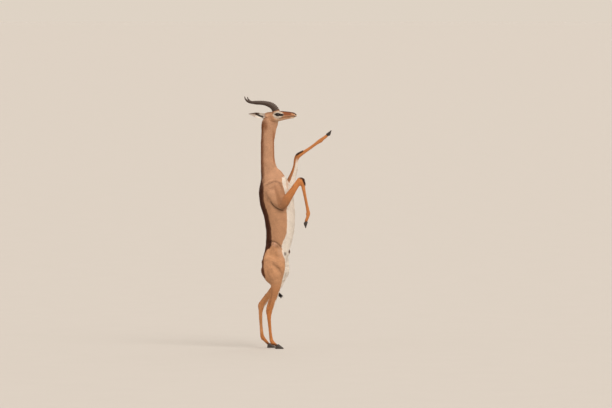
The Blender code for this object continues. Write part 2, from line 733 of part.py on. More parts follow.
def build_tail(collection):
    """The thin tail with its dark end lock by lock, fused to one solid."""
    tail = make_object("tail", [loft(TAIL, sides=10, steps=3)], collection)
    picker = random.Random(7)
    locks = new_collection("tail_locks")
    start, end = Vector((-0.016, 0.0, 0.449)), Vector((0.022, 0.0, 0.420))
    down = (end - start).normalized()
    side = Vector((0, 1, 0))
    up = side.cross(down)
    for i in range(TUFT_LOCKS):
        t = i / (TUFT_LOCKS - 1)
        angle = i * 2.4
        out = (side * math.cos(angle) + up * math.sin(angle)).normalized()
        root = start.lerp(end, t)
        length = TUFT_LENGTH * picker.uniform(0.75, 1.0) * (0.75 - 0.25 * t)
        lean = (down + out * picker.uniform(0.10, 0.28)).normalized()
        flat = lean.cross(out).normalized()
        thick = flat.cross(lean)
        wide = picker.uniform(0.0060, 0.0078)
        points = []
        for s, w in ((-0.12, 0.6), (0.25, 1.0), (0.65, 0.75), (0.94, 0.25)):
            centre = root + out * (0.003 + 0.003 * s) + lean * length * s
            for a, b in ((1, 0), (0, 0.36), (-1, 0), (0, -0.36)):
                points.append(centre + flat * wide * w * a + thick * wide * w * b)
        points.append(root + out * 0.006 + lean * length)
        faces = [(3, 2, 1, 0)]
        for k in (0, 4, 8):
            for j in range(4):
                faces.append((k + j, k + (j + 1) % 4, k + 4 + (j + 1) % 4, k + 4 + j))
        for j in range(4):
            faces.append((12 + j, 12 + (j + 1) % 4, 16))
        make_object("lock", [(points, faces)], locks)
    union = tail.modifiers.new("union", "BOOLEAN")
    union.operand_type = "COLLECTION"
    union.collection = locks
    union.solver = "MANIFOLD"
    union.operation = "UNION"
    apply_modifiers(tail)
    for lock in list(locks.objects):
        bpy.data.objects.remove(lock, do_unlink=True)
    bpy.data.collections.remove(locks)
    keep_largest(tail)
    return tail


def cut_eye(head, side, cutters):
    """A lid ring round the eye, its opening and the ball's socket."""
    lid = eye_shape("lid", EYE_RADIUS + 0.0026, side, cutters)
    boolean(head, lid, "UNION")
    bpy.data.objects.remove(lid, do_unlink=True)
    rows = [
        (EYE.x, EYE.z, EYE.y + 0.004, 0.0040, 0.0075),
        (EYE.x, EYE.z, EYE.y + 0.014, 0.0076, 0.0125),
        (EYE.x + 0.001, EYE.z, EYE.y + 0.030, 0.0090, 0.0150),
    ]
    hole = turned(loft(rows, side, sides=14, steps=1, across=(1, 0, 0)))
    boolean(head, as_helper(make_object("opening", [hole], cutters)))
    boolean(head, as_helper(eye_shape("socket", EYE_RADIUS + GAP, side, cutters)))


def build_head(cutters):
    """Skull, jaw, lids, mouth and nostrils as one solid, cut where it meets the neck and the eyes."""
    pieces = [loft(TRUNK[12:], sides=28)] + skull_forms()
    head = flesh("head", pieces, HEAD_STEP, HEAD_FACES, 4, cutters)
    place = head_place()
    for side in (-1, 1):
        cut_eye(head, side, cutters)
        nostril = ball(Vector((0.149, side * 0.0095, 1.8375)), NOSTRIL, place, "nostril", cutters)
        boolean(head, nostril)
    across = place.to_3x3() @ Vector((-0.12, 0.0, 0.99))
    mouth = plate("mouth", place @ MOUTH, across, MOUTH_LENGTH / 2, 0.040, 0.0010, cutters)
    boolean(head, mouth)
    point, normal = HEAD_CUT
    below = plate("below_head", point - normal * 0.15, normal, 0.4, 0.4, 0.30 + GAP, cutters)
    boolean(head, below)
    keep_largest(head)
    return head


def build_body(cutters):
    """Trunk, neck and legs as one skin, then parted by thin plates. Gives the pieces by name."""
    pieces = [loft(TRUNK, sides=32, egg=-0.13)] + limb_forms() + skull_forms()
    pieces.append(loft(SHEATH, sides=12))
    body = flesh("body", pieces, BODY_STEP, BODY_FACES, 12, cutters)
    point, normal = HEAD_CUT
    above = plate("above_neck", point + normal * 0.25, normal, 0.30, 0.4, 0.50 + GAP, cutters)
    boolean(body, above)
    for name, (where, direction, half_x, half_y) in CUTS.items():
        boolean(body, plate("cut_" + name, where, direction, half_x, half_y, GAP, cutters))
    group, volumes = loose_parts(body.data)
    centres = {}
    for face, number in zip(body.data.polygons, group):
        centres.setdefault(number, []).append(face.center)
    nodes = {}
    taken = []
    for name, anchor in ANCHORS.items():
        anchor = np.array(anchor)
        real = [n for n, volume in enumerate(volumes) if volume > 1e-5 and n not in taken]
        nearest = min(real, key=lambda n: np.linalg.norm(np.array(centres[n]) - anchor, axis=1).min())
        piece = bpy.data.objects.new(name, body.data.copy())
        cutters.objects.link(piece)
        keep_part(piece.data, group, nearest)
        taken.append(nearest)
        nodes[name] = piece
    bpy.data.objects.remove(body, do_unlink=True)
    return nodes


def main():
    clear_scene()
    animal = new_collection("gerenuk")
    cutters = new_collection("gerenuk_cutters")
    claws = {}
    for foot, place in foot_places().items():
        side = -1 if foot.endswith("right") else 1
        for which, outer in (("inner", -1), ("outer", 1)):
            claws["claw_" + foot + "_" + which] = claw(place, outer * side, "claw", cutters)
    horns = {name: build_horn(side, cutters) for name, side in SIDES.items()}
    ears = {name: build_ear(side, cutters) for name, side in SIDES.items()}
    head = build_head(cutters)
    swollen = grown(head, GAP, cutters)
    for name in SIDES:
        for made in (horns[name], ears[name]):
            boolean(made, swollen)
            keep_largest(made)
    nodes = build_body(cutters)
    for name, piece in claws.items():
        foot = ("hind_foot_" if "hind" in name else "fore_foot_") + name.split("_")[2]
        boolean(nodes[foot], grown(piece, GAP, cutters))
        keep_largest(nodes[foot])
    tail = build_tail(cutters)
    boolean(tail, grown(nodes["torso"], GAP, cutters))
    keep_largest(tail)
    for name, piece in nodes.items():
        colour = RUFOUS if "foot" in name or "shank" in name or "forearm" in name else FAWN
        finish(piece, name, coat(name, colour), animal)
    finish(head, "head", coat("head", TAN), animal)
    finish(tail, "tail", coat("tail", TAN), animal)
    for name, side in SIDES.items():
        finish(horns[name], "horn_" + name, material("horn_" + name, HORN_BROWN, 0.45), animal)
        finish(ears[name], "ear_" + name, coat("ear_" + name, TAN), animal)
        eye = eye_shape("eye", EYE_RADIUS, side, cutters)
        finish(eye, "eye_" + name, material("eye_" + name, EYE_BROWN, 0.08), animal)
    for name, piece in claws.items():
        finish(piece, name, material(name, HOOF_GREY, 0.4), animal)
    for helper in list(cutters.objects):
        bpy.data.objects.remove(helper, do_unlink=True)
    bpy.data.collections.remove(cutters)
    place_on_floor(animal)


def place_on_floor(animal):
    """Moves the animal so that the middle of its box is over the origin and its soles are at zero."""
    corners = np.array([v.co for obj in animal.objects for v in obj.data.vertices])
    low, high = corners.min(axis=0), corners.max(axis=0)
    shift = Matrix.Translation((-0.5 * (low[0] + high[0]), -0.5 * (low[1] + high[1]), -low[2]))
    for obj in animal.objects:
        obj.data.transform(shift)


main()
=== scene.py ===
"""Looks of the standing gerenuk: skin, short coat, eyes, horns and hooves. Metres, Z up."""
import math

import bmesh
import bpy
import numpy as np
from mathutils import Matrix, Vector
from mathutils.bvhtree import BVHTree


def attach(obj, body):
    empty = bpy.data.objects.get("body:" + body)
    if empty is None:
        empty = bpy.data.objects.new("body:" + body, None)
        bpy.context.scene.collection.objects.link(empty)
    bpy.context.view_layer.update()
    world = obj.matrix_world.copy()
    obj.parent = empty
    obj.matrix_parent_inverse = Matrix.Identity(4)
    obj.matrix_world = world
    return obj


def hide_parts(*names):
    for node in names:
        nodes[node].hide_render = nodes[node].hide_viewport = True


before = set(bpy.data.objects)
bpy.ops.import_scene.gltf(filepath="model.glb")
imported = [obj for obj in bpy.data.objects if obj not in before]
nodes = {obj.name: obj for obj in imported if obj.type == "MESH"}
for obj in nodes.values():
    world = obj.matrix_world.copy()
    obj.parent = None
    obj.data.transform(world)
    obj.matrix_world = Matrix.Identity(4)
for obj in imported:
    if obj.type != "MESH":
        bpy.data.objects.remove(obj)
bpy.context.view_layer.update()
rng = np.random.default_rng(11)

# The frame of the animal's own forms, as in the part's source, and the head's turn in it.
SHIFT = np.array((-0.0851, 0.0068, 0.0))
HEAD_PIVOT = Vector((-0.050, 0.0, 1.800))
HEAD_TURN = math.radians(-8.0)
HEAD_TILT = math.radians(-2.5)
EYE = np.array((0.013, 0.0325, 1.834))
EYE_RADIUS = 0.0165
BALL_RADIUS = EYE_RADIUS - 0.0003
PUPIL = (0.0062, 0.0036)  # half width and half height
LID = (0.0142, 0.0079)  # the same of the opening
IRIS_RADIUS = 0.0135
CORNEA = 0.0006  # how far it stands out
GLAND = (0.0452, 1.8326)  # x and z of the gland in front of the eye
EAR_ROOT = np.array((-0.084, 0.040, 1.821))
EAR_TIP = np.array((-0.214, 0.092, 1.840))
EAR_WIDTH = 0.0215  # half
EAR_OPENING = np.array((0.30, 1.0, -0.10))  # the way it faces
HORN = [
    (-0.004, 1.842, 0.025, 0.0232, 0.0205),
    (-0.011, 1.868, 0.029, 0.0246, 0.0215),
    (-0.029, 1.895, 0.035, 0.0228, 0.0203),
    (-0.058, 1.914, 0.045, 0.0210, 0.0190),
    (-0.098, 1.925, 0.060, 0.0174, 0.0160),
    (-0.144, 1.928, 0.073, 0.0149, 0.0139),
    (-0.186, 1.929, 0.080, 0.0123, 0.0116),
    (-0.219, 1.937, 0.081, 0.0096, 0.0091),
    (-0.239, 1.955, 0.078, 0.0062, 0.0060),
    (-0.247, 1.975, 0.074, 0.0026, 0.0026),
]
TAIL = [
    (-0.085, 0.665, 0, 0.0175), (-0.112, 0.620, 0, 0.0150), (-0.104, 0.576, 0, 0.0125),
    (-0.076, 0.547, 0, 0.0118), (-0.047, 0.525, 0, 0.0102), (-0.032, 0.486, 0, 0.0086),
    (-0.014, 0.452, 0, 0.0074), (0.008, 0.431, 0, 0.0060), (0.022, 0.420, 0, 0.0040),
]
SIDES = {"right": -1, "left": 1}
HIND_STANCE = 0.077  # how far each hind foot stands from the middle

# Middle lines of body and limbs, along which the coat lies. Each row: x, z, y on the left, radius.
LINES = {
    "trunk": [
        (-0.053, 1.790, 0, 0.045), (-0.0725, 1.652, 0, 0.045), (-0.0745, 1.574, 0, 0.045),
        (-0.0725, 1.480, 0, 0.047), (-0.062, 1.401, 0, 0.055), (-0.041, 1.346, 0, 0.072),
        (-0.024, 1.283, 0, 0.095), (-0.012, 1.213, 0, 0.110), (0.002, 1.142, 0, 0.115),
        (0.017, 1.056, 0, 0.112), (0.024, 0.962, 0, 0.105), (0.018, 0.867, 0, 0.095),
        (-0.002, 0.773, 0, 0.085), (-0.027, 0.679, 0, 0.080), (-0.046, 0.612, 0, 0.070),
        (-0.046, 0.573, 0, 0.050),
    ],
    "head": [
        (0.155, 1.831, 0, 0.014), (0.118, 1.833, 0, 0.022), (0.090, 1.830, 0, 0.026),
        (0.059, 1.828, 0, 0.032), (0.028, 1.824, 0, 0.038), (-0.008, 1.820, 0, 0.044),
        (-0.044, 1.816, 0, 0.044), (-0.085, 1.815, 0, 0.038),
    ],
    "ear": [(-0.084, 1.821, 0.040, 0.014), (-0.149, 1.8305, 0.066, 0.020), (-0.214, 1.840, 0.092, 0.008)],
    "tail": TAIL,
    "fore_right": [
        (-0.096, 1.245, 0.050, 0.040), (-0.004, 1.290, 0.062, 0.040), (0.020, 1.215, 0.080, 0.042),
        (0.038, 1.135, 0.102, 0.034), (0.059, 1.147, 0.116, 0.031), (0.086, 1.188, 0.118, 0.029),
        (0.119, 1.235, 0.110, 0.024), (0.152, 1.285, 0.099, 0.021), (0.186, 1.326, 0.095, 0.022),
        (0.201, 1.296, 0.094, 0.019), (0.218, 1.205, 0.090, 0.0133), (0.232, 1.134, 0.086, 0.013),
        (0.245, 1.061, 0.082, 0.0165), (0.230, 1.009, 0.080, 0.0145), (0.216, 0.960, 0.079, 0.012),
    ],
    "fore_left": [
        (-0.096, 1.245, 0.050, 0.040), (-0.004, 1.290, 0.062, 0.040), (0.040, 1.245, 0.080, 0.040),
        (0.080, 1.235, 0.098, 0.034), (0.098, 1.288, 0.102, 0.030), (0.126, 1.362, 0.098, 0.025),
        (0.145, 1.437, 0.092, 0.0185), (0.158, 1.502, 0.087, 0.020), (0.204, 1.535, 0.081, 0.0153),
        (0.251, 1.566, 0.073, 0.0133), (0.294, 1.597, 0.066, 0.013), (0.338, 1.629, 0.058, 0.0165),
        (0.361, 1.646, 0.055, 0.014), (0.396, 1.673, 0.052, 0.012), (0.432, 1.701, 0.050, 0.010),
    ],
    "hind_right": [
        (-0.030, 0.780, 0.050, 0.050), (-0.040, 0.690, 0.056, 0.062), (-0.022, 0.600, 0.080, 0.060),
        (-0.003, 0.530, 0.084, 0.045), (-0.012, 0.467, 0.086, 0.032), (-0.028, 0.404, 0.084, 0.024),
        (-0.048, 0.349, 0.081, 0.0205), (-0.063, 0.290, 0.078, 0.019), (-0.062, 0.235, 0.077, 0.0155),
        (-0.053, 0.130, 0.077, 0.0131), (-0.046, 0.076, 0.077, 0.0152), (-0.038, 0.053, 0.077, 0.017),
        (-0.018, 0.036, 0.077, 0.015), (0.030, 0.010, 0.077, 0.012),
    ],
    "hind_left": [
        (-0.030, 0.780, 0.050, 0.050), (-0.025, 0.690, 0.056, 0.062), (0.008, 0.610, 0.080, 0.060),
        (0.022, 0.548, 0.084, 0.045), (-0.002, 0.491, 0.086, 0.034), (-0.043, 0.441, 0.084, 0.026),
        (-0.089, 0.389, 0.081, 0.0205), (-0.127, 0.330, 0.078, 0.019), (-0.132, 0.270, 0.077, 0.0155),
        (-0.126, 0.169, 0.077, 0.0131), (-0.120, 0.106, 0.077, 0.0152), (-0.113, 0.081, 0.077, 0.017),
        (-0.087, 0.050, 0.077, 0.015), (-0.034, 0.010, 0.077, 0.012),
    ],
}
# Each line's place on the coat's unwrap: left, low, width and height of its patch.
PATCHES = {
    "trunk": (0.01, 0.01, 0.42, 0.84), "hind_right": (0.45, 0.01, 0.17, 0.62),
    "hind_left": (0.64, 0.01, 0.17, 0.62), "fore_right": (0.83, 0.01, 0.07, 0.60),
    "fore_left": (0.92, 0.01, 0.07, 0.60), "head": (0.45, 0.66, 0.20, 0.22),
    "ear_right": (0.68, 0.66, 0.10, 0.12), "ear_left": (0.80, 0.66, 0.10, 0.12),
    "tail": (0.92, 0.66, 0.06, 0.28),
}

# Skin.
BODY_STEP = 0.0038
HEAD_STEP = 0.0017
NECK_JOIN = 1.722  # height where the finer skin of head and upper neck begins
COAT_DEPTH = 0.0016
UV_PATCH = 0.0015  # half size of a tuft's patch on the unwrap
OVERLAP = 0.0006
LOOSE_SHARE, LOOSE_RISE = 0.08, 2.5  # tufts that stand up more, and how much more
FLESH_LOW = [
    "neck", "torso", "thigh_right", "thigh_left", "shank_right", "shank_left", "hind_foot_right",
    "hind_foot_left", "forearm_right", "forearm_left", "fore_foot_right", "fore_foot_left",
]
FLESH_HIGH = ["head", "ear_right", "ear_left", "neck"]


def linear(*rgb):
    """A colour read as 0 to 255 in sRGB, as linear light."""
    part = np.array(rgb, float) / 255
    return np.where(part <= 0.04045, part / 12.92, ((part + 0.055) / 1.055) ** 2.4)


FAWN = linear(196, 150, 119)
FLANK = linear(193, 146, 112)
SHOULDER = linear(160, 108, 72)
THIGH = linear(196, 146, 108)
SHANK = linear(184, 130, 90)
RUFOUS = linear(190, 122, 70)
SADDLE = linear(72, 39, 25)
NAPE = linear(122, 74, 46)
RUMP_HAIR_AND_SHADE = linear(104, 64, 42)
WHITE = linear(232, 222, 211)
CREAM = linear(214, 184, 156)
CHESTNUT = linear(76, 40, 27)
RUST = linear(138, 76, 44)
CHEEK = linear(178, 128, 92)
BRUSH = linear(78, 48, 33)
BLACK = linear(26, 18, 15)
EAR_BACK = linear(120, 84, 60)
PINK = linear(150, 108, 92)
FACE_WHITE = linear(208, 192, 176)
PASTERN = linear(92, 58, 40)
THROAT_SHADE = linear(158, 102, 68)
JAW_SHADE = linear(138, 88, 56)
SADDLE_RIM = linear(120, 80, 58)
INNER_SHANK = linear(214, 158, 110)
SHEATH = linear(98, 66, 54)
GROIN_SHADE = linear(112, 100, 96)
HIP_HIGHLIGHT = linear(216, 168, 140)
TAIL_HAIR = linear(112, 70, 46)
LIP = linear(120, 78, 56)
NOSE = linear(58, 36, 28)
MOUTH = linear(50, 32, 27)
MOUTH_CORNER = linear(58, 40, 34)
HORN_DARK, HORN_PALE = linear(44, 30, 23), linear(98, 74, 58)
HOOF_DARK, HOOF_PALE = linear(30, 25, 23), linear(72, 58, 50)
LID_DARK, LID_PALE = linear(16, 11, 10), linear(46, 33, 28)
IRIS_MIDDLE, IRIS, IRIS_RIM = linear(34, 17, 10), linear(32, 17, 10), linear(10, 7, 6)
PUPIL_BLACK = (0.002, 0.002, 0.003)


def ramp(value, start, end):
    """Smoothly from 0 at start to 1 at end."""
    t = np.clip((value - start) / (end - start), 0, 1)
    return t * t * (3 - 2 * t)


def fade(value, start, end):
    """Smoothly from 1 at start to 0 at end."""
    return 1 - ramp(value, start, end)


def mix(base, colour, mask):
    return base + (np.asarray(colour) - base) * np.asarray(mask)[:, None]


def wobble(points, wavelength, seed):
    """Smooth noise between about -1 and 1, the same every run."""
    picker = np.random.default_rng(seed)
    total = np.zeros(len(points))
    for _ in range(7):
        way = picker.normal(size=3)
        way *= 2 * math.pi / wavelength / np.linalg.norm(way) * picker.uniform(0.6, 1.5)
        total += np.sin(points @ way + picker.uniform(0, 6.28))
    return total / 3.2


def head_matrix():
    turn = Matrix.Rotation(HEAD_TURN, 4, "Z") @ Matrix.Rotation(HEAD_TILT, 4, "X")
    return Matrix.Translation(HEAD_PIVOT) @ turn @ Matrix.Translation(-HEAD_PIVOT)


HEAD = np.array(head_matrix())
HEAD_BACK = np.linalg.inv(HEAD)


def placed(matrix, points):
    return points @ matrix[:3, :3].T + matrix[:3, 3]


def unit(vectors):
    """Vectors, or rows of them, scaled to length 1."""
    return vectors / np.linalg.norm(vectors, axis=-1, keepdims=True).clip(1e-9)


def smooth_rows(rows, steps):
    """More rows along a smooth curve through the given ones."""
    rows = np.array(rows, float)
    ends = np.vstack([2 * rows[0] - rows[1], rows, 2 * rows[-1] - rows[-2]])
    made = []
    for before, start, end, after in zip(ends, ends[1:], ends[2:], ends[3:]):
        square = 2 * before - 5 * start + 4 * end - after
        cube = 3 * start - before - 3 * end + after
        for t in np.arange(steps) / steps:
            bend = square * t**2 + cube * t**3
            made.append(start + 0.5 * ((end - before) * t + bend))
    made.append(rows[-1])
    return np.array(made)


def linked(name, data):
    """A new object with this data in the scene."""
    obj = bpy.data.objects.new(name, data)
    bpy.context.scene.collection.objects.link(obj)
    return obj


def new_object(name, points, faces):
    mesh = bpy.data.meshes.new(name)
    mesh.from_pydata([tuple(p) for p in points], [], [tuple(f) for f in faces])
    mesh.polygons.foreach_set("use_smooth", [True] * len(mesh.polygons))
    return linked(name, mesh)


def applied(obj):
    """The object with its modifiers applied."""
    bpy.context.view_layer.update()
    graph = bpy.context.evaluated_depsgraph_get()
    mesh = bpy.data.meshes.new_from_object(obj.evaluated_get(graph))
    obj.modifiers.clear()
    obj.data = mesh
    return obj


def read_rows(collection, field):
    """One vector of each vertex as rows."""
    rows = np.empty(len(collection) * 3, np.float32)
    collection.foreach_get(field, rows)
    return rows.reshape(-1, 3).astype(float)


def points_of(mesh):
    return read_rows(mesh.vertices, "co")


def normals_of(mesh):
    return read_rows(mesh.vertex_normals, "vector")


def set_points(mesh, points):
    mesh.vertices.foreach_set("co", points.astype(np.float32).ravel())
    mesh.update()


def edges_of(mesh):
    edges = np.empty(len(mesh.edges) * 2, np.int32)
    mesh.edges.foreach_get("vertices", edges)
    return edges.reshape(-1, 2)


def relax(points, edges, rounds, keep=True, share=None):
    """Smooths points over their edges. With keep, a step back follows each, so the form keeps its size."""
    count = np.bincount(edges.ravel(), minlength=len(points)).clip(1)[:, None]
    share = 1.0 if share is None else share[:, None]
    for _ in range(rounds):
        for factor in (0.55, -0.57) if keep else (0.5,):
            total = np.empty_like(points)
            for axis in range(3):
                total[:, axis] = np.bincount(edges[:, 0], points[edges[:, 1], axis], len(points))
                total[:, axis] += np.bincount(edges[:, 1], points[edges[:, 0], axis], len(points))
            points = points + (total / count - points) * factor * share
    return points


def bands(rings, around, closed=False):
    """Faces between neighbouring rings of points that all have the same number of points."""
    faces = []
    for k in range(rings if closed else rings - 1):
        a, b = k * around, (k + 1) % rings * around
        faces += [(a + j, a + (j + 1) % around, b + (j + 1) % around, b + j) for j in range(around)]
    return faces


def end_faces(rings, around):
    end = (rings - 1) * around
    return [tuple(range(around))[::-1], tuple(range(end, end + around))]


def cross_axes(forward):
    """Two unit vectors square to a direction, the first as near to the animal's left as it can be."""
    wide = unit(np.array((0, 1.0, 0)) - forward * forward[1])
    return wide, np.cross(wide, forward)


def tube(rows, sides=16, steps=3):
    """Points and faces of a closed round tube. Each row: x, z, y, radius."""
    rows = smooth_rows(rows, steps)
    spine = rows[:, [0, 2, 1]]
    points = []
    for centre, forward, radius in zip(spine, unit(np.gradient(spine, axis=0)), rows[:, 3]):
        wide, deep = cross_axes(forward)
        for angle in np.linspace(0, 2 * math.pi, sides, endpoint=False):
            points.append(centre + radius * (deep * math.cos(angle) + wide * math.sin(angle)))
    return np.array(points), bands(len(rows), sides) + end_faces(len(rows), sides)


def fused(names, extra, step):
    """Copies of solids, each grown to meet its neighbours, as one fresh surface of even faces."""
    bm = bmesh.new()
    for name in names:
        part = bmesh.new()
        part.from_mesh(nodes[name].data)
        bmesh.ops.remove_doubles(part, verts=part.verts, dist=1e-6)
        part.normal_update()
        for v in part.verts:
            v.co += v.normal * OVERLAP
        mesh = bpy.data.meshes.new("part")
        part.to_mesh(mesh)
        part.free()
        bm.from_mesh(mesh)
        bpy.data.meshes.remove(mesh)
    if extra:
        bm.from_mesh(extra.data)
        bpy.data.objects.remove(extra)
    mesh = bpy.data.meshes.new("fused")
    bm.to_mesh(mesh)
    bm.free()
    mesh.materials.clear()
    obj = linked("fused", mesh)
    remesh = obj.modifiers.new("remesh", "REMESH")
    remesh.mode = "VOXEL"
    remesh.voxel_size = step
    remesh.adaptivity = 0.0
    return applied(obj)


def largest(bm):
    """Keeps the largest connected surface."""
    seen, best = set(), []
    for start in bm.verts:
        if start in seen:
            continue
        group, stack = [], [start]
        seen.add(start)
        while stack:
            v = stack.pop()
            group.append(v)
            for edge in v.link_edges:
                other = edge.other_vert(v)
                if other not in seen:
                    seen.add(other)
                    stack.append(other)
        if len(group) > len(best):
            best = group
    kept = set(best)
    bmesh.ops.delete(bm, geom=[v for v in bm.verts if v not in kept], context="VERTS")


def build_skin():
    """One skin over all flesh: a fine head and a coarser body, bridged round the neck."""
    tail = new_object("tail_form", *tube([(x + SHIFT[0], z, y + SHIFT[1], r) for x, z, y, r in TAIL]))
    halves = []
    for names, extra, step, rounds, keep_above in (
        (FLESH_LOW, tail, BODY_STEP, 26, False),
        (FLESH_HIGH, None, HEAD_STEP, 10, True),
    ):
        half = fused(names, extra, step)
        set_points(half.data, relax(points_of(half.data), edges_of(half.data), rounds))
        bm = bmesh.new()
        bm.from_mesh(half.data)
        largest(bm)
        bmesh.ops.bisect_plane(
            bm, geom=bm.verts[:] + bm.edges[:] + bm.faces[:], dist=1e-6,
            plane_co=(0, 0, NECK_JOIN), plane_no=(0, 0, 1),
            clear_inner=keep_above, clear_outer=not keep_above,
        )
        bm.to_mesh(half.data)
        bm.free()
        halves.append(half)
    low, high = halves
    bm = bmesh.new()
    bm.from_mesh(low.data)
    bm.from_mesh(high.data)
    rim = [edge for edge in bm.edges if edge.is_boundary]
    bmesh.ops.bridge_loops(bm, edges=rim)
    bmesh.ops.triangulate(bm, faces=[f for f in bm.faces if len(f.verts) > 4])
    bmesh.ops.recalc_face_normals(bm, faces=bm.faces)
    mesh = bpy.data.meshes.new("skin")
    bm.to_mesh(mesh)
    bm.free()
    for half in halves:
        bpy.data.objects.remove(half)
    mesh.polygons.foreach_set("use_smooth", [True] * len(mesh.polygons))
    points = points_of(mesh)
    near = fade(np.abs(points[:, 2] - NECK_JOIN), 0.006, 0.016)
    set_points(mesh, relax(points, edges_of(mesh), 30, keep=False, share=near))
    return linked("skin", mesh)


def line_table():
    """The middle lines as smooth runs: name, side, points in the forms' frame, radii, lengths along."""
    table = []
    for name, rows in LINES.items():
        rows = smooth_rows(rows, 4)
        copies = [(name, -1 if name.endswith("right") else 1)]
        if name == "ear":
            copies = [("ear_right", -1), ("ear_left", 1)]
        for label, side in copies:
            points = rows[:, [0, 2, 1]] * (1, side, 1)
            if name in ("head", "ear"):
                points = placed(HEAD, points)
            length = np.concatenate([[0], np.cumsum(np.linalg.norm(np.diff(points, axis=0), axis=1))])
            table.append((label, side, points, rows[:, 3], length))
    return table


LINE_TABLE = line_table()
LINE_NAMES = [row[0] for row in LINE_TABLE]


def locate(points):
    """For points in the forms' frame: their line, their place along and round it, and the coat's lie."""
    count = len(points)
    nearest = np.full(count, 1e9)
    found = {"line": np.zeros(count, int), "along": np.zeros(count), "radius": np.ones(count)}
    found.update(centre=np.zeros((count, 3)), ahead=np.zeros((count, 3)))
    ratios, aheads = [], []
    for number, (name, side, spine, radii, length) in enumerate(LINE_TABLE):
        best = np.full(count, 1e9)
        own = {key: np.zeros_like(value) for key, value in found.items() if key != "line"}
        for k in range(len(spine) - 1):
            step = spine[k + 1] - spine[k]
            size = np.linalg.norm(step)
            t = np.clip((points - spine[k]) @ step / size**2, 0, 1)
            centre = spine[k] + t[:, None] * step
            radius = radii[k] + t * (radii[k + 1] - radii[k])
            ratio = np.linalg.norm(points - centre, axis=1) / radius
            closer = ratio < best
            best[closer] = ratio[closer]
            own["along"][closer] = (length[k] + t * size)[closer]
            own["radius"][closer] = radius[closer]
            own["centre"][closer] = centre[closer]
            own["ahead"][closer] = step / size
        closer = best < nearest
        nearest = np.where(closer, best, nearest)
        found["line"][closer] = number
        for key, value in own.items():
            found[key][closer] = value[closer]
        ratios.append(best)
        aheads.append(own["ahead"])
    lie = np.zeros((count, 3))
    for ratio, ahead in zip(ratios, aheads):
        lie += ahead * np.exp(-5 * (ratio - nearest))[:, None]
    found["lie"] = unit(lie)
    offset = points - found["centre"]
    ahead = found["ahead"]
    across = unit(np.array((0, 1.0, 0)) - ahead * ahead[:, 1:2])
    front = np.cross(ahead, across)
    found["u"] = (offset * across).sum(axis=1)
    found["v"] = (offset * front).sum(axis=1)
    side = np.array([row[1] for row in LINE_TABLE])[found["line"]]
    found["inner"] = -side * found["u"] / found["radius"]
    found["front"] = found["v"] / found["radius"]
    return found


def on_line(place, *names):
    return np.isin(place["line"], [LINE_NAMES.index(name) for name in names])


# Edges of the dark saddle and of the white belly as seen from the side: height, x. Low on the rump the
# saddle's edge takes in the painted shade under the buttocks.
SADDLE_EDGE = [
    (0.520, -0.200), (0.560, -0.090), (0.600, -0.097), (0.640, -0.104), (0.700, -0.104), (0.745, -0.096),
    (0.775, -0.078), (0.795, -0.052), (0.811, -0.042), (0.851, -0.0415), (0.937, -0.0446), (1.051, -0.0650),
    (1.110, -0.086), (1.166, -0.1030), (1.253, -0.1070), (1.342, -0.1150), (1.477, -0.1190),
    (1.656, -0.1175), (1.781, -0.1090), (1.830, -0.108),
]
WHITE_EDGE = [
    (0.520, 0.035), (0.544, 0.043), (0.603, 0.063), (0.669, 0.069), (0.710, 0.060), (0.747, 0.043),
    (0.799, 0.037), (0.849, 0.0488), (0.880, 0.064), (0.914, 0.0763), (0.979, 0.0787), (1.099, 0.0763),
    (1.170, 0.068), (1.250, 0.047), (1.315, 0.038), (1.345, 0.038), (1.372, 0.080),
]

# Fore knees: line, place of the brush of dark hair as x and z, and the way it faces.
KNEES = [("fore_right", (0.203, 1.322), (0.80, 0.60)), ("fore_left", (0.170, 1.530), (-0.45, 0.89))]

# Where the tan outer side of the right hind leg ends in front: height, x.
LEG_EDGE = [
    (0.269, -0.041), (0.335, -0.029), (0.407, 0.000), (0.473, 0.024), (0.544, 0.043), (0.603, 0.063),
    (0.669, 0.069), (0.747, 0.043), (0.799, 0.037),
]


def line_x(name, z):
    """How far forward a leg's middle line is at each height."""
    rows = np.array(LINES[name])[::-1]
    return np.interp(z, rows[:, 1], rows[:, 0])


def knee_patch(points, normals, place, reach, facing):
    """The fronts of the fore knees, from 0 to 1."""
    mask = np.zeros(len(points))
    for name, knee, way in KNEES:
        away = np.sqrt((points[:, 0] - knee[0]) ** 2 + (points[:, 2] - knee[1]) ** 2)
        towards = normals[:, 0] * way[0] + normals[:, 2] * way[1]
        mask = np.maximum(mask, fade(away, *reach) * ramp(towards, *facing) * on_line(place, name))
    return mask


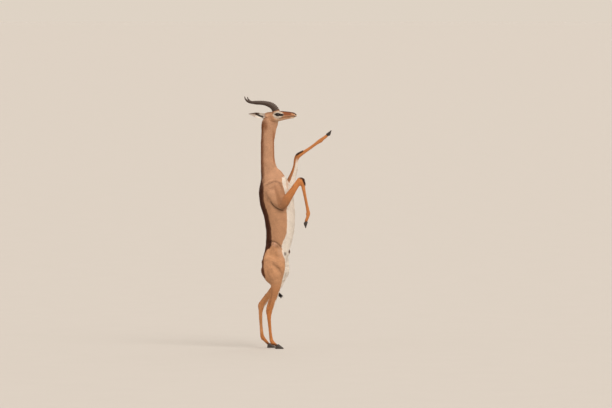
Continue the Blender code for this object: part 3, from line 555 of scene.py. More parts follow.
def head_colour(local, base):
    """Colours of head and throat, from points in the head's own frame."""
    x, y, z = local[:, 0], np.abs(local[:, 1]), local[:, 2]
    colour = mix(base, CHEEK, ramp(x, -0.075, -0.030) * 0.7)
    colour = mix(colour, CREAM, ramp(1.812 - z, 0.0, 0.014) * ramp(x, -0.03, 0.02) * 0.65)
    colour = mix(colour, RUST, ramp(x, 0.040, 0.058) * ramp(z, 1.822, 1.838) * fade(x, 0.106, 0.128) * 0.9)
    # The dark blaze from the horns down the bridge of the nose.
    blaze = ramp(z, 1.845, 1.853) * fade(y, 0.010, 0.017) * ramp(x, -0.005, 0.010) * fade(x, 0.128, 0.140)
    crown = ramp(z, 1.852, 1.860) * fade(y, 0.016, 0.026) * fade(x, 0.050, 0.070) * ramp(x, -0.06, -0.02)
    above = z - (1.854 - 0.10 * (x - 0.04))
    bridge = ramp(above, -0.003, 0.002) * fade(y, 0.013, 0.019) * ramp(x, 0.035, 0.045)
    bridge *= fade(x, 0.130, 0.142)
    colour = mix(colour, CHESTNUT, np.clip(np.maximum(np.maximum(blaze, crown), bridge), 0, 1) * 0.92)
    # White round the eye, narrower towards the nose and soft below.
    beside = ramp(y, 0.013, 0.021)
    dx = (x - 0.0165) / 0.0435
    dz = z - (1.8335 + 0.03 * (x - 0.0165))
    dz = dz / np.where(dz > 0, 0.0290, 0.0310) / (1 - 0.36 * ramp(dx, 0.1, 1.0))
    ring = (np.abs(dx) ** 2.2 + np.abs(dz) ** 2.2) ** (1 / 2.2)
    ring = ring + wobble(local, 0.009, 8) * 0.045 + wobble(local, 0.022, 9) * 0.03
    colour = mix(colour, FACE_WHITE, fade(ring, 0.78, 1.12) * beside)
    # Dark skin of the lids and the gland in front of the eye, one drop shape with a fuzzy edge.
    ahead = (x - GLAND[0]) / 0.0155
    gland = np.hypot(ahead, (z - GLAND[1]) / (0.0098 * (1 - 0.5 * ramp(ahead, 0.0, 1.0))))
    lid = np.hypot((x - EYE[0]) / 0.0215, (z - EYE[2] - 0.0010) / 0.0140)
    link = np.maximum(np.abs(x - 0.031) / 0.012, np.abs(z - GLAND[1] - 0.0004) / 0.0090)
    behind = np.hypot((x + 0.006) / 0.0100, (z - 1.8332) / 0.0042)
    mark = np.minimum(np.minimum(gland, lid), np.minimum(link, behind)) + wobble(local, 0.006, 10) * 0.05
    colour = mix(colour, BLACK, fade(mark, 0.80, 1.16) * beside)
    # Pale lips and chin, dark round the nostrils and along the mouth.
    colour = mix(colour, CREAM, ramp(x, 0.098, 0.122) * fade(z, 1.8200, 1.8235))
    colour = mix(colour, LIP, ramp(x, 0.105, 0.125) * ramp(z, 1.8205, 1.8225) * fade(z, 1.8265, 1.8310) * 0.7)
    colour = mix(colour, CREAM, ramp(x, 0.137, 0.146) * fade(z, 1.8400, 1.8440) * ramp(z, 1.8250, 1.8290))
    nostril = ((x - 0.149) / 0.0105) ** 2 + ((y - 0.0100) / 0.008) ** 2 + ((z - 1.8372) / 0.0060) ** 2
    colour = mix(colour, BLACK, fade(np.sqrt(nostril), 0.70, 1.05))
    nose = ramp(x, 0.120, 0.134) * ramp(z, 1.8395, 1.8430)
    colour = mix(colour, NOSE, nose * 0.85)
    mouth = np.abs(z - (1.8205 + 0.12 * (x - 0.121)))
    colour = mix(colour, MOUTH, fade(mouth, 0.0006, 0.0020) * ramp(x, 0.080, 0.092) * 0.9)
    corner = np.hypot((x - 0.139) / 0.0075, (z - 1.8222) / 0.0042)
    colour = mix(colour, MOUTH_CORNER, fade(corner, 0.4, 1.1) * 0.8)
    return colour


def ear_outline(t):
    """The ear's half width along its length, as a share of the greatest."""
    return np.sqrt(np.clip(1 - ((t - 0.42) / 0.60) ** 2, 0.02, 1))


def ear_frame(local, normal):
    """How far along an ear points lie, how far down across it, and how much they face its opening."""
    side = np.where(local[:, 1] < 0, -1.0, 1.0)
    flip = np.stack([np.ones(len(side)), side, np.ones(len(side))], axis=1)
    p, n = local * flip, normal * flip
    length = np.linalg.norm(EAR_TIP - EAR_ROOT)
    ahead = (EAR_TIP - EAR_ROOT) / length
    opening = unit(EAR_OPENING - ahead * (EAR_OPENING @ ahead))
    across = np.cross(ahead, opening)
    t = (p - EAR_ROOT) @ ahead / length
    u = (p - EAR_ROOT) @ across / EAR_WIDTH
    return t, u, ramp(n @ opening, -0.15, 0.20)


def ear_colour(local, normal, base):
    """Colours of an ear: white hair with a dark stroke inside, brown outside, a dark upper rim and tip."""
    t, u, inside = ear_frame(local, normal)
    edge = u / ear_outline(t)
    low_rim = ramp(edge, 0.55, 0.90)
    outer = mix(np.broadcast_to(EAR_BACK, local.shape), CHESTNUT, ramp(t, 0.55, 0.85) * 0.8)
    outer = mix(outer, FAWN, fade(t, 0.05, 0.30) * 0.8)
    outer = mix(outer, CREAM, low_rim * fade(t, 0.80, 0.95) * 0.8)
    inner = np.broadcast_to(WHITE, local.shape)
    inner = mix(inner, PINK, fade(np.abs(u), 0.1, 0.6) * fade(t, 0.12, 0.34) * 0.45)
    ragged = wobble(local, 0.010, 12) * 0.04
    # The black strokes of the inside: middle, slant, start, end, half width, strength.
    for middle, slant, start, stop, wide, strength in (
        (0.64, -1.70, 0.06, 0.56, 0.33, 1.0),
        (0.62, -0.90, 0.46, 0.78, 0.06, 0.35),
    ):
        stripe = fade(np.abs(u - middle - slant * t) + ragged, wide * 0.75, wide * 1.5)
        stripe *= ramp(t, start, start + 0.08) * fade(t, stop, stop + 0.08)
        inner = mix(inner, BLACK, stripe * strength * 0.95)
    inner = mix(inner, CHESTNUT, ramp(t, 0.86, 0.96))
    inner = mix(inner, EAR_BACK, ramp(t, 0.42, 0.66) * 0.45)
    upper_rim = ramp(-edge + ragged + 0.30 * ramp(t, 0.50, 0.85), 0.36, 0.60)
    inner = mix(inner, BRUSH, upper_rim * ramp(t, 0.30, 0.44) * 0.95)
    colour = outer * (1 - inside[:, None]) + inner * inside[:, None]
    return mix(base, colour, ramp(t, 0.0, 0.08))


def coat_colour(points, normals, place):
    """The coat's colour at points in the forms' frame. Skin and tufts both use it."""
    x, y, z = points[:, 0], points[:, 1], points[:, 2]
    jitter = wobble(points, 0.030, 3) * 0.0022 + wobble(points, 0.011, 4) * 0.0012
    colour = np.broadcast_to(FAWN, points.shape).copy()
    colour = mix(colour, FLANK, fade(z, 1.10, 1.35))
    trunk = on_line(place, "trunk")
    upper_arm = on_line(place, "fore_right", "fore_left")
    thigh = on_line(place, "hind_right", "hind_left")
    # Shoulder, thigh and the redder legs.
    colour = mix(colour, SHOULDER, upper_arm * ramp(place["along"], 0.02, 0.34) * 0.75)
    colour = mix(colour, RUFOUS, upper_arm * ramp(place["along"], 0.26, 0.42) * 0.9)
    colour = mix(colour, THIGH, thigh * 0.8)
    colour = mix(colour, SHANK, thigh * ramp(place["along"], 0.24, 0.34))
    colour = mix(colour, RUFOUS, thigh * ramp(place["along"], 0.38, 0.52))
    # Painted shade: a darker line along the front edge of the neck.
    throat = fade(np.abs(x - np.interp(z, [1.4, 1.72], [-0.024, -0.028])), 0.003, 0.012)
    colour = mix(colour, THROAT_SHADE, throat * trunk * ramp(z, 1.42, 1.50) * fade(z, 1.68, 1.74) * 0.65)
    # Painted shade: darker on the neck and head behind the jaw.
    jaw_shade = fade(np.hypot((x + 0.090) / 0.026, (z - 1.748) / 0.066), 0.1, 1.0)
    colour = mix(colour, JAW_SHADE, jaw_shade * (trunk | on_line(place, "head")) * 0.75)
    # Dark saddle, lighter up the nape and down the rump, where the dark rear edge is partly darker hair and
    # partly painted shade.
    edge = np.interp(z, *np.array(SADDLE_EDGE).T)
    dark = mix(np.broadcast_to(SADDLE, points.shape), NAPE, ramp(z, 1.32, 1.46))
    dark = mix(dark, RUMP_HAIR_AND_SHADE, fade(z, 0.74, 0.80))
    inside = edge - x + jitter
    body = 1 - on_line(place, "ear_right", "ear_left", "tail")
    body = body - on_line(place, "head") * ramp(z, 1.765, 1.800)
    lower_leg = thigh * ramp(place["along"], 0.20, 0.26)
    soft_edge = ramp(z, 1.22, 1.40)
    saddle = ramp(inside, -0.003, 0.005) * (1 - soft_edge) + ramp(inside, -0.026, 0.005) * soft_edge
    saddle = saddle * body * (1 - lower_leg)
    soft = mix(dark, SADDLE_RIM, fade(inside, 0.004, 0.022) * 0.45 * ramp(z, 0.8, 0.9) * fade(z, 1.25, 1.35))
    colour = colour + (soft - colour) * saddle[:, None]
    # White belly and chest, between the thighs and on the inner sides of the legs.
    white_edge = np.interp(z, *np.array(WHITE_EDGE).T)
    belly = ramp(x - white_edge + jitter, -0.003, 0.003) * trunk * ramp(z, 0.52, 0.58) * fade(z, 1.352, 1.372)
    groin = trunk * fade(z, 0.70, 0.80) * ramp(x, -0.045, -0.015) * fade(np.abs(y), 0.060, 0.085)
    colour = mix(colour, WHITE, np.maximum(belly, groin))
    along = place["along"]
    reach = np.hypot(place["inner"], place["front"]).clip(1e-6)
    inner, front = place["inner"] / reach, place["front"] / reach
    leg_edge = np.interp(z, *np.array(LEG_EDGE).T)
    leg_edge += on_line(place, "hind_left") * (line_x("hind_left", z) - line_x("hind_right", z))
    reach_back = 0.090 * ramp(inner, 0.05, 0.55) * ramp(z, 0.46, 0.56)
    leg_white = ramp(x - leg_edge + reach_back + jitter, -0.003, 0.003) * ramp(z, 0.25, 0.31)
    colour = mix(colour, WHITE, leg_white * fade(z, 0.80, 0.86) * thigh)
    inner_shank = thigh * ramp(inner, 0.0, 0.7) * fade(z, 0.44, 0.50) * ramp(z, 0.09, 0.14)
    colour = mix(colour, INNER_SHANK, inner_shank * 0.6)
    near_arm = on_line(place, "fore_right")
    facing_white = np.where(near_arm, inner - 0.35 * front - 0.35, inner - 0.75 * front - 0.45)
    inner_arm = ramp(facing_white + jitter * 14, 0.30, 0.50) * upper_arm * fade(along, 0.44, 0.50)
    inner_arm *= ramp(along, np.where(near_arm, 0.30, 0.12), np.where(near_arm, 0.36, 0.20))
    streak = fade(np.abs(x - 0.078 + 0.10 * (z - 1.29) + jitter), 0.004, 0.012)
    colour = mix(colour, FAWN, streak * trunk * ramp(z, 1.235, 1.27) * fade(z, 1.33, 1.35) * 0.55)
    colour = mix(colour, WHITE, inner_arm)
    # Brushes of dark hair on the fore knees.
    colour = mix(colour, BRUSH, knee_patch(points, normals, place, (0.026, 0.042), (0.15, 0.50)) * 0.92)
    # Dark hair above the hooves, the sheath and the end of the tail.
    colour = mix(colour, PASTERN, thigh * fade(z, 0.034, 0.052) * 0.8)
    fore_end = upper_arm * ramp(along, 0.845, 0.875)
    colour = mix(colour, PASTERN, fore_end * 0.7)
    sheath = np.sqrt((x - 0.094) ** 2 + y**2 + (z - 0.766) ** 2)
    colour = mix(colour, SHEATH, fade(sheath, 0.012, 0.022))
    # Painted shade in the fold of the groin.
    groin_shade = np.hypot((x - 0.064) / 0.8, z - 0.748)
    colour = mix(colour, GROIN_SHADE, fade(groin_shade, 0.006, 0.022) * 0.75)
    # A painted highlight: a pale patch on the point of the hip, below the hip's crease.
    hip_highlight = np.hypot(x + 0.0195, z - 0.8215)
    colour = mix(colour, HIP_HIGHLIGHT, fade(hip_highlight, 0.008, 0.024) * (1 - saddle) * 0.7)
    tail = on_line(place, "tail")
    colour = mix(colour, TAIL_HAIR, tail * 0.8)
    colour = mix(colour, BLACK, tail * ramp(along, 0.22, 0.27))
    # Head and ears.
    local = placed(HEAD_BACK, points)
    local_normal = normals @ HEAD_BACK[:3, :3].T
    head = on_line(place, "head", "ear_right", "ear_left") * 1.0
    headness = np.maximum(head, ramp(local[:, 2], 1.775, 1.800) * ramp(local[:, 0], -0.10, -0.03))
    colour = colour + (head_colour(local, colour) - colour) * headness[:, None]
    ear_part = (local[:, 0] < -0.080) & (np.abs(local[:, 1]) > 0.036) & (local[:, 2] > 1.80)
    ear_part |= on_line(place, "ear_right", "ear_left")
    colour = colour + (ear_colour(local, local_normal, colour) - colour) * (ear_part * 1.0)[:, None]
    shade = 1 + 0.055 * wobble(points, 0.060, 5) + 0.045 * wobble(points, 0.016, 6)
    return np.clip(colour * shade[:, None], 0, 1)


# Folds and muscles, drawn in the side view: sides, radius, height, darkness, then x and z along it. The
# darkness is painted shade in the crease.
STROKES = [
    ("right", 0.009, -0.0060, 0.36,
     [(-0.074, 1.284), (-0.046, 1.306), (-0.010, 1.316), (0.022, 1.306), (0.036, 1.276), (0.042, 1.235)]),
    ("left", 0.010, -0.0050, 0.30, [(-0.060, 1.318), (-0.030, 1.315), (0.010, 1.305), (0.045, 1.297)]),
    ("right", 0.0075, -0.0075, 0.75,
     [(-0.058, 1.170), (-0.039, 1.134), (-0.004, 1.104), (0.032, 1.089), (0.070, 1.087)]),
    ("left", 0.009, -0.0060, 0.45,
     [(-0.062, 1.190), (-0.030, 1.165), (0.010, 1.155), (0.045, 1.165), (0.075, 1.185)]),
    ("right", 0.010, -0.0030, 0.20, [(-0.052, 1.158), (-0.078, 1.195), (-0.092, 1.235)]),
    ("left", 0.010, -0.0030, 0.20, [(-0.062, 1.190), (-0.082, 1.215), (-0.094, 1.245)]),
    ("right", 0.012, -0.0020, 0.08, [(-0.030, 1.285), (-0.012, 1.240), (0.008, 1.190), (0.024, 1.150)]),
    ("both", 0.012, 0.0024, 0.0, [(-0.085, 1.250), (-0.060, 1.262), (-0.030, 1.275)]),
    ("right", 0.008, -0.0055, 0.62,
     [(-0.080, 0.822), (-0.056, 0.837), (-0.038, 0.843), (-0.016, 0.838), (0.008, 0.825), (0.026, 0.804),
      (0.035, 0.784)]),
    ("left", 0.008, -0.0050, 0.50,
     [(-0.060, 0.836), (-0.036, 0.843), (-0.008, 0.838), (0.016, 0.826), (0.038, 0.806), (0.050, 0.784)]),
    ("both", 0.018, 0.0045, 0.0, [(-0.028, 0.818), (-0.012, 0.818), (0.004, 0.806)]),
    ("right", 0.010, -0.0042, 0.30,
     [(-0.036, 0.680), (-0.022, 0.660), (0.004, 0.638), (0.024, 0.617), (0.036, 0.598), (0.041, 0.572)]),
    ("right", 0.018, 0.0035, 0.0, [(-0.070, 0.700), (-0.040, 0.690), (-0.005, 0.668), (0.025, 0.645)]),
    ("left", 0.012, -0.0042, 0.20,
     [(-0.035, 0.690), (-0.012, 0.668), (0.015, 0.640), (0.042, 0.612), (0.064, 0.585)]),
    ("right", 0.014, 0.0040, 0.0, [(-0.055, 0.650), (-0.034, 0.616), (-0.012, 0.580), (0.006, 0.548)]),
    ("left", 0.014, 0.0040, 0.0, [(-0.045, 0.665), (-0.010, 0.635), (0.020, 0.600), (0.040, 0.570)]),
    ("right", 0.012, -0.0022, 0.06, [(-0.090, 0.665), (-0.080, 0.610), (-0.060, 0.560), (-0.046, 0.520)]),
    ("left", 0.012, -0.0022, 0.06, [(-0.085, 0.665), (-0.064, 0.610), (-0.040, 0.560), (-0.020, 0.525)]),
    ("right", 0.007, -0.0034, 0.22, [(-0.036, 0.450), (-0.050, 0.400), (-0.060, 0.350), (-0.070, 0.310)]),
    ("left", 0.007, -0.0034, 0.22, [(-0.050, 0.470), (-0.082, 0.420), (-0.112, 0.370), (-0.134, 0.335)]),
    ("both", 0.010, -0.0024, 0.06,
     [(-0.044, 1.730), (-0.047, 1.650), (-0.048, 1.560), (-0.044, 1.470), (-0.026, 1.390)]),
    ("both", 0.012, 0.0020, 0.0, [(-0.075, 1.700), (-0.085, 1.600), (-0.086, 1.500), (-0.075, 1.420)]),
    ("both", 0.012, 0.0014, 0.0, [(0.060, 1.060), (0.046, 1.000), (0.020, 0.950)]),
]
LEG_GROOVES = {
    "hind_right": [(-0.066, 0.235), (-0.060, 0.180), (-0.054, 0.110)],
    "hind_left": [(-0.136, 0.270), (-0.132, 0.215), (-0.127, 0.140)],
    "fore_right": [(0.205, 1.250), (0.214, 1.190), (0.227, 1.110)],
    "fore_left": [(0.207, 1.530), (0.250, 1.559), (0.310, 1.602)],
}
# The same for both sides of the head, in its own frame: radius, height, then x and z along it.
HEAD_STROKES = [
    (0.0020, -0.0030, [(0.150, 1.8240), (0.121, 1.8205), (0.100, 1.8180), (0.084, 1.8160)]),
    (0.0030, 0.0010, [(0.146, 1.8285), (0.118, 1.8255), (0.092, 1.8225)]),
    (0.0030, 0.0010, [(0.142, 1.8175), (0.118, 1.8155), (0.095, 1.8130)]),
    (0.0040, -0.0032, [(0.034, 1.8328), (0.042, 1.8326), (0.052, 1.8310)]),
    (0.0045, 0.0014, [(0.022, 1.8170), (0.045, 1.8205), (0.075, 1.8250), (0.100, 1.8290)]),
    (0.0030, -0.0016, [(-0.012, 1.8480), (0.000, 1.8540), (0.016, 1.8555), (0.030, 1.8500)]),
    (0.0030, -0.0014, [(-0.010, 1.8230), (0.006, 1.8165), (0.024, 1.8185), (0.036, 1.8240)]),
    (0.0060, -0.0022, [(-0.052, 1.8220), (-0.046, 1.8060), (-0.036, 1.7900)]),
    (0.0070, 0.0020, [(-0.030, 1.8050), (-0.015, 1.7980), (0.010, 1.7960)]),
    (0.0040, -0.0016, [(0.060, 1.8080), (0.090, 1.8120), (0.115, 1.8140)]),
    (0.0025, -0.0016, [(0.1400, 1.8400), (0.1450, 1.8425), (0.1500, 1.8410)]),
]


def laid(tree, matrix, path, side):
    """A path drawn in the side view, on the surface that a ray from that side meets first."""
    rows = smooth_rows(path, 5)
    inverse = np.linalg.inv(matrix)
    direction = Vector(matrix[:3, :3] @ np.array((0.0, -side, 0.0)))
    found = []
    for x, z in rows:
        start = Vector(placed(matrix, np.array((x, side * 0.4, z))))
        hit = tree.ray_cast(start, direction)
        if hit[0] is not None and (placed(inverse, np.array(hit[0]))[1]) * side > -0.02:
            found.append(np.array(hit[0]))
    return np.array(found)


def press(points, normals, path, radius, height, crease_shade=None, tone=0.0):
    """Moves points near a path along their normals, and raises their painted crease shade by the stroke's
    darkness.
    """
    if len(path) < 2:
        return points
    low, high = path.min(axis=0) - 3 * radius, path.max(axis=0) + 3 * radius
    index = np.nonzero(np.all((points > low) & (points < high), axis=1))[0]
    near = np.full(len(index), 1e9)
    where = np.zeros(len(index))
    for k in range(len(path) - 1):
        step = path[k + 1] - path[k]
        t = np.clip((points[index] - path[k]) @ step / max(step @ step, 1e-12), 0, 1)
        gap = np.linalg.norm(points[index] - path[k] - t[:, None] * step, axis=1)
        closer = gap < near
        near[closer] = gap[closer]
        where[closer] = (k + t[closer]) / (len(path) - 1)
    taper = np.clip(np.minimum(where, 1 - where) / 0.18, 0.15, 1)
    points = points.copy()
    strength = taper * np.exp(-((near / radius) ** 2))
    points[index] += normals[index] * (height * strength)[:, None]
    if tone:
        crease_shade[index] = np.maximum(crease_shade[index], strength * tone)
    return points


def sculpt(skin):
    """Insets the skin by the coat's depth, then adds folds, muscles and the head's small forms, with painted
    shade in the creases of folds and muscles.
    """
    mesh = skin.data
    points, normals = points_of(mesh), normals_of(mesh)
    edges = edges_of(mesh)
    form = points - SHIFT
    local = placed(HEAD_BACK, form)
    place = locate(form)
    # Thin forms keep their thickness: the ears, lids, lips and the feet lose less.
    depth = np.full(len(points), COAT_DEPTH + OVERLAP)
    headness = ramp(local[:, 2], 1.775, 1.795) * ramp(local[:, 0], -0.075, -0.035)
    depth -= headness * COAT_DEPTH * 0.6
    depth[on_line(place, "ear_right", "ear_left")] = 0.0006
    depth[place["radius"] < 0.022] = OVERLAP + 0.0008
    points = points - normals * depth[:, None]
    tree = BVHTree.FromPolygons([Vector(p) for p in form], [tuple(f.vertices) for f in mesh.polygons])
    crease_shade = np.zeros(len(points))
    # Strokes with a darkness also paint shade into their creases.
    for label, radius, height, tone, path in STROKES:
        for name, side in SIDES.items():
            if label in ("both", name):
                line = laid(tree, np.eye(4), path, side) + SHIFT
                points = press(points, normals, line, radius, height, crease_shade, tone)
    for label, path in LEG_GROOVES.items():
        side = -1 if label.endswith("right") else 1
        grooves = [laid(tree, np.eye(4), path, side)]
        if "hind" in label:
            # The same groove on the leg's inner side.
            grooves.append(grooves[0] + (0, -2 * (grooves[0][:, 1].mean() - side * HIND_STANCE), 0))
        for groove in grooves:
            # Each leg groove also gets a little painted shade.
            points = press(points, normals, groove + SHIFT, 0.0050, -0.0022, crease_shade, 0.12)
    for radius, height, path in HEAD_STROKES:
        for side in (-1, 1):
            line = laid(tree, HEAD, path, side)
            if len(line):
                points = press(points, normals, line + SHIFT, radius, height)
    # Soft unevenness of flesh, none on the face.
    swell = wobble(form, 0.11, 21) * 0.0011 + wobble(form, 0.045, 22) * 0.0004
    swell *= 1 - np.maximum(headness, on_line(place, "ear_right", "ear_left") * 1.0)
    swell *= ramp(place["radius"], 0.014, 0.040)
    points += normals * swell[:, None]
    set_points(mesh, relax(points, edges, 1))
    return crease_shade


def set_colour(mesh, name, colour):
    layer = mesh.color_attributes.new(name, "FLOAT_COLOR", "POINT")
    layer.data.foreach_set("color", np.hstack([colour, np.ones((len(colour), 1))]).astype(np.float32).ravel())


def set_vector(mesh, name, vector):
    layer = mesh.attributes.new(name, "FLOAT_VECTOR", "POINT")
    layer.data.foreach_set("vector", vector.astype(np.float32).ravel())


def set_value(mesh, name, value):
    layer = mesh.attributes.new(name, "FLOAT", "POINT")
    layer.data.foreach_set("value", value.astype(np.float32))


def level(vectors, normals):
    """The vectors laid flat on the surface with these normals, at length 1."""
    return unit(vectors - normals * (vectors * normals).sum(axis=1)[:, None])


def paint_skin(skin, crease_shade):
    """Stores the coat's colour and the streaks' coordinates, and gives back what the hair needs."""
    mesh = skin.data
    points = points_of(mesh) - SHIFT
    normals = normals_of(mesh)
    place = locate(points)
    # The coat's colour, darkened by the painted shade of the creases.
    colour = coat_colour(points, normals, place) * (1 - crease_shade)[:, None]
    set_colour(mesh, "coat", colour)
    streak = np.stack([place["u"] + place["line"] * 0.37, place["v"], place["along"]], axis=1)
    set_vector(mesh, "streak", streak)
    edges = edges_of(mesh)
    crossing = edges[place["line"][edges[:, 0]] != place["line"][edges[:, 1]]]
    even = np.ones(len(points))
    even[crossing.ravel()] = 0.0
    set_value(mesh, "even", even)
    return points, normals, place, crease_shade, level(place["lie"], normals)


SOCKETS = {
    "rough": "Roughness", "specular": "Specular IOR Level",
    "sheen": "Sheen Weight", "sheen_rough": "Sheen Roughness",
    "coat": "Coat Weight", "coat_rough": "Coat Roughness",
}


def new_material(name, **settings):
    """A material with its shader's constant values set on their own sockets."""
    made = bpy.data.materials.new(name)
    made.use_nodes = True
    tree = made.node_tree
    shader = tree.nodes["Principled BSDF"]
    for key, value in settings.items():
        shader.inputs[SOCKETS[key]].default_value = value
    return made, tree, shader


def node(tree, kind, inputs=None, **settings):
    made = tree.nodes.new(kind)
    for key, value in settings.items():
        setattr(made, key, value)
    for key, value in (inputs or {}).items():
        if isinstance(value, bpy.types.NodeSocket):
            tree.links.new(value, made.inputs[key])
        else:
            made.inputs[key].default_value = value
    return made


def maths(tree, operation, a, b=0.0):
    return node(tree, "ShaderNodeMath", {0: a, 1: b}, operation=operation).outputs[0]


def scaled(tree, value, factor, offset):
    """The value times a factor, plus an offset."""
    return maths(tree, "ADD", maths(tree, "MULTIPLY", value, factor), offset)


def attribute(tree, name, output="Fac"):
    return node(tree, "ShaderNodeAttribute", attribute_name=name).outputs[output]


def stretched(tree, vector, scale):
    return node(tree, "ShaderNodeMapping", {"Vector": vector, "Scale": scale}).outputs[0]


def object_place(tree):
    return node(tree, "ShaderNodeTexCoord").outputs["Object"]


def between(tree, factor, *stops):
    """Colours by a factor, at stops that each hold a place and a colour."""
    made = node(tree, "ShaderNodeValToRGB", {0: factor})
    for element, (place, colour) in zip(made.color_ramp.elements, stops):
        element.position, element.color = place, (*colour, 1)
    return made


def shaded(tree, colour, value):
    """The colour with its brightness multiplied."""
    return node(tree, "ShaderNodeHueSaturation", {"Color": colour, "Value": value}).outputs[0]


def feed(tree, shader, colour, rough=None, height=None, strength=0.0, distance=0.0):
    """Links colour, roughness and the height of a bump to the shader."""
    tree.links.new(colour, shader.inputs["Base Color"])
    if rough is not None:
        tree.links.new(rough, shader.inputs["Roughness"])
    if height is not None:
        bump = node(tree, "ShaderNodeBump", {"Strength": strength, "Distance": distance, "Height": height})
        tree.links.new(bump.outputs[0], shader.inputs["Normal"])


def noise(tree, vector, scale, detail=2.0, rough=0.5):
    inputs = {"Vector": vector, "Scale": scale, "Detail": detail, "Roughness": rough}
    return node(tree, "ShaderNodeTexNoise", inputs).outputs["Fac"]


def skin_material():
    """Short flat hair: streaks along the lie of the coat in colour, roughness and bump."""
    made, tree, shader = new_material("coat_skin", specular=0.12, sheen=0.04, sheen_rough=0.4)
    streak = attribute(tree, "streak", "Vector")
    even = attribute(tree, "even")
    fine = stretched(tree, streak, (900.0, 900.0, 75.0))
    wide = stretched(tree, streak, (210.0, 210.0, 26.0))
    hair = maths(tree, "SUBTRACT", noise(tree, fine, 1.0, 3.0, 0.65), 0.5)
    clump = maths(tree, "SUBTRACT", noise(tree, wide, 1.0, 2.0, 0.5), 0.5)
    # Where two lines meet, the streaks have no one direction, and plain grain takes their place.
    plain = maths(tree, "SUBTRACT", noise(tree, object_place(tree), 420.0, 3.0, 0.6), 0.5)
    plain = maths(tree, "MULTIPLY", plain, maths(tree, "SUBTRACT", 1.0, even))
    hair = maths(tree, "ADD", maths(tree, "MULTIPLY", hair, even), plain)
    clump = maths(tree, "MULTIPLY", clump, even)
    tone = maths(tree, "ADD", hair, maths(tree, "MULTIPLY", clump, 0.45))
    colour = shaded(tree, attribute(tree, "coat", "Color"), maths(tree, "ADD", tone, 1.0))
    height = maths(tree, "ADD", maths(tree, "MULTIPLY", hair, 0.6), clump)
    feed(tree, shader, colour, scaled(tree, hair, 0.25, 0.62), height, 0.8, 0.0018)
    return made


def tuft_material():
    """Hair of the tufts: the coat's colour at the root, with each tuft's own shade and a paler tip."""
    made, tree, shader = new_material("coat_tufts", specular=0.14, sheen=0.04, sheen_rough=0.4)
    fine = noise(tree, object_place(tree), 900.0, 2.0)
    colour = shaded(tree, attribute(tree, "coat", "Color"), scaled(tree, fine, 0.30, 0.85))
    feed(tree, shader, colour, scaled(tree, fine, 0.2, 0.52))
    return made


def unwrap(place):
    """Each point's place on an unwrap of the skin: round its line and along it, in that line's patch."""
    angle = np.arctan2(place["u"], place["v"]) / (2 * math.pi) + 0.5
    u, v = np.zeros(len(angle)), np.zeros(len(angle))
    for number, (name, _, _, _, length) in enumerate(LINE_TABLE):
        left, low, wide, high = PATCHES[name]
        own = place["line"] == number
        u[own] = left + wide * angle[own]
        v[own] = low + high * place["along"][own] / length[-1]
    return np.stack([u, v], axis=1)


def mesh_of(name, points, faces, shading, colours, uvs, spread, material):
    """One coat piece from equal closed tufts, with shading normals, colours and places on the unwrap."""
    count, corners = points.shape[:2]
    points = points.reshape(-1, 3)
    faces = (np.arange(count)[:, None, None] * corners + np.array(faces)[None]).reshape(-1, 3)
    mesh = bpy.data.meshes.new(name)
    mesh.vertices.add(len(points))
    mesh.vertices.foreach_set("co", points.astype(np.float32).ravel())
    mesh.loops.add(faces.size)
    mesh.loops.foreach_set("vertex_index", faces.astype(np.int32).ravel())
    mesh.polygons.add(len(faces))
    mesh.polygons.foreach_set("loop_start", np.arange(len(faces), dtype=np.int32) * 3)
    mesh.update(calc_edges=True)
    mesh.polygons.foreach_set("use_smooth", [True] * len(faces))
    set_colour(mesh, "coat", np.clip(colours, 0, 1).reshape(-1, 3))
    uv = (uvs[:, None, :] + np.array(spread)[None] * UV_PATCH).reshape(-1, 2)
    layer = mesh.uv_layers.new(name="OFBake")
    layer.uv.foreach_set("vector", uv[faces.ravel()].astype(np.float32).ravel())
    shading = unit(shading.reshape(-1, 3))
    mesh.normals_split_custom_set_from_vertices(shading.astype(np.float32).tolist())
    mesh.materials.append(material)
    obj = linked(name, mesh)
    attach(obj, "root")
    return obj


def build_tufts(name, roots, normals, lies, colours, uvs, length, width, rise, material):
    """Many thin closed tufts: a sunk three cornered root and a fine tip that lies along the coat."""
    count = len(roots)
    side = unit(np.cross(normals, lies))
    ahead = unit(lies + side * rng.normal(0, 0.10, count)[:, None])
    side = np.cross(normals, ahead)
    length = (length * rng.uniform(0.7, 1.25, count))[:, None]
    width = (width * rng.uniform(0.75, 1.25, count))[:, None]
    rise = rise * rng.uniform(0.5, 1.5, count)
    rise = (rise * np.where(rng.uniform(0, 1, count) < LOOSE_SHARE, LOOSE_RISE, 1.0))[:, None]
    low = roots - normals * (0.20 * width + 0.0002)
    tip = roots + ahead * length + normals * rise + side * width * rng.normal(0, 0.4, count)[:, None]
    half = side * width * 0.5
    points = np.stack([low - half, low + half, roots + normals * width * 0.22, tip], axis=1)
    roll = rng.normal(0, 0.10, count)[:, None]
    left, right = normals - side * (0.30 + roll), normals + side * (0.30 - roll)
    shading = np.stack([left, right, normals, normals + ahead * 0.10], axis=1)
    shade = np.array([0.93, 0.93, 0.97, 1.10])[None, :] * rng.normal(1.0, 0.07, count)[:, None]
    colours = colours[:, None, :] * shade[..., None]
    faces = [(0, 2, 1), (0, 1, 3), (1, 2, 3), (2, 0, 3)]
    spread = [(-1, -1), (1, -1), (0, -0.4), (0, 1)]
    return mesh_of(name, points, faces, shading, colours, uvs, spread, material)


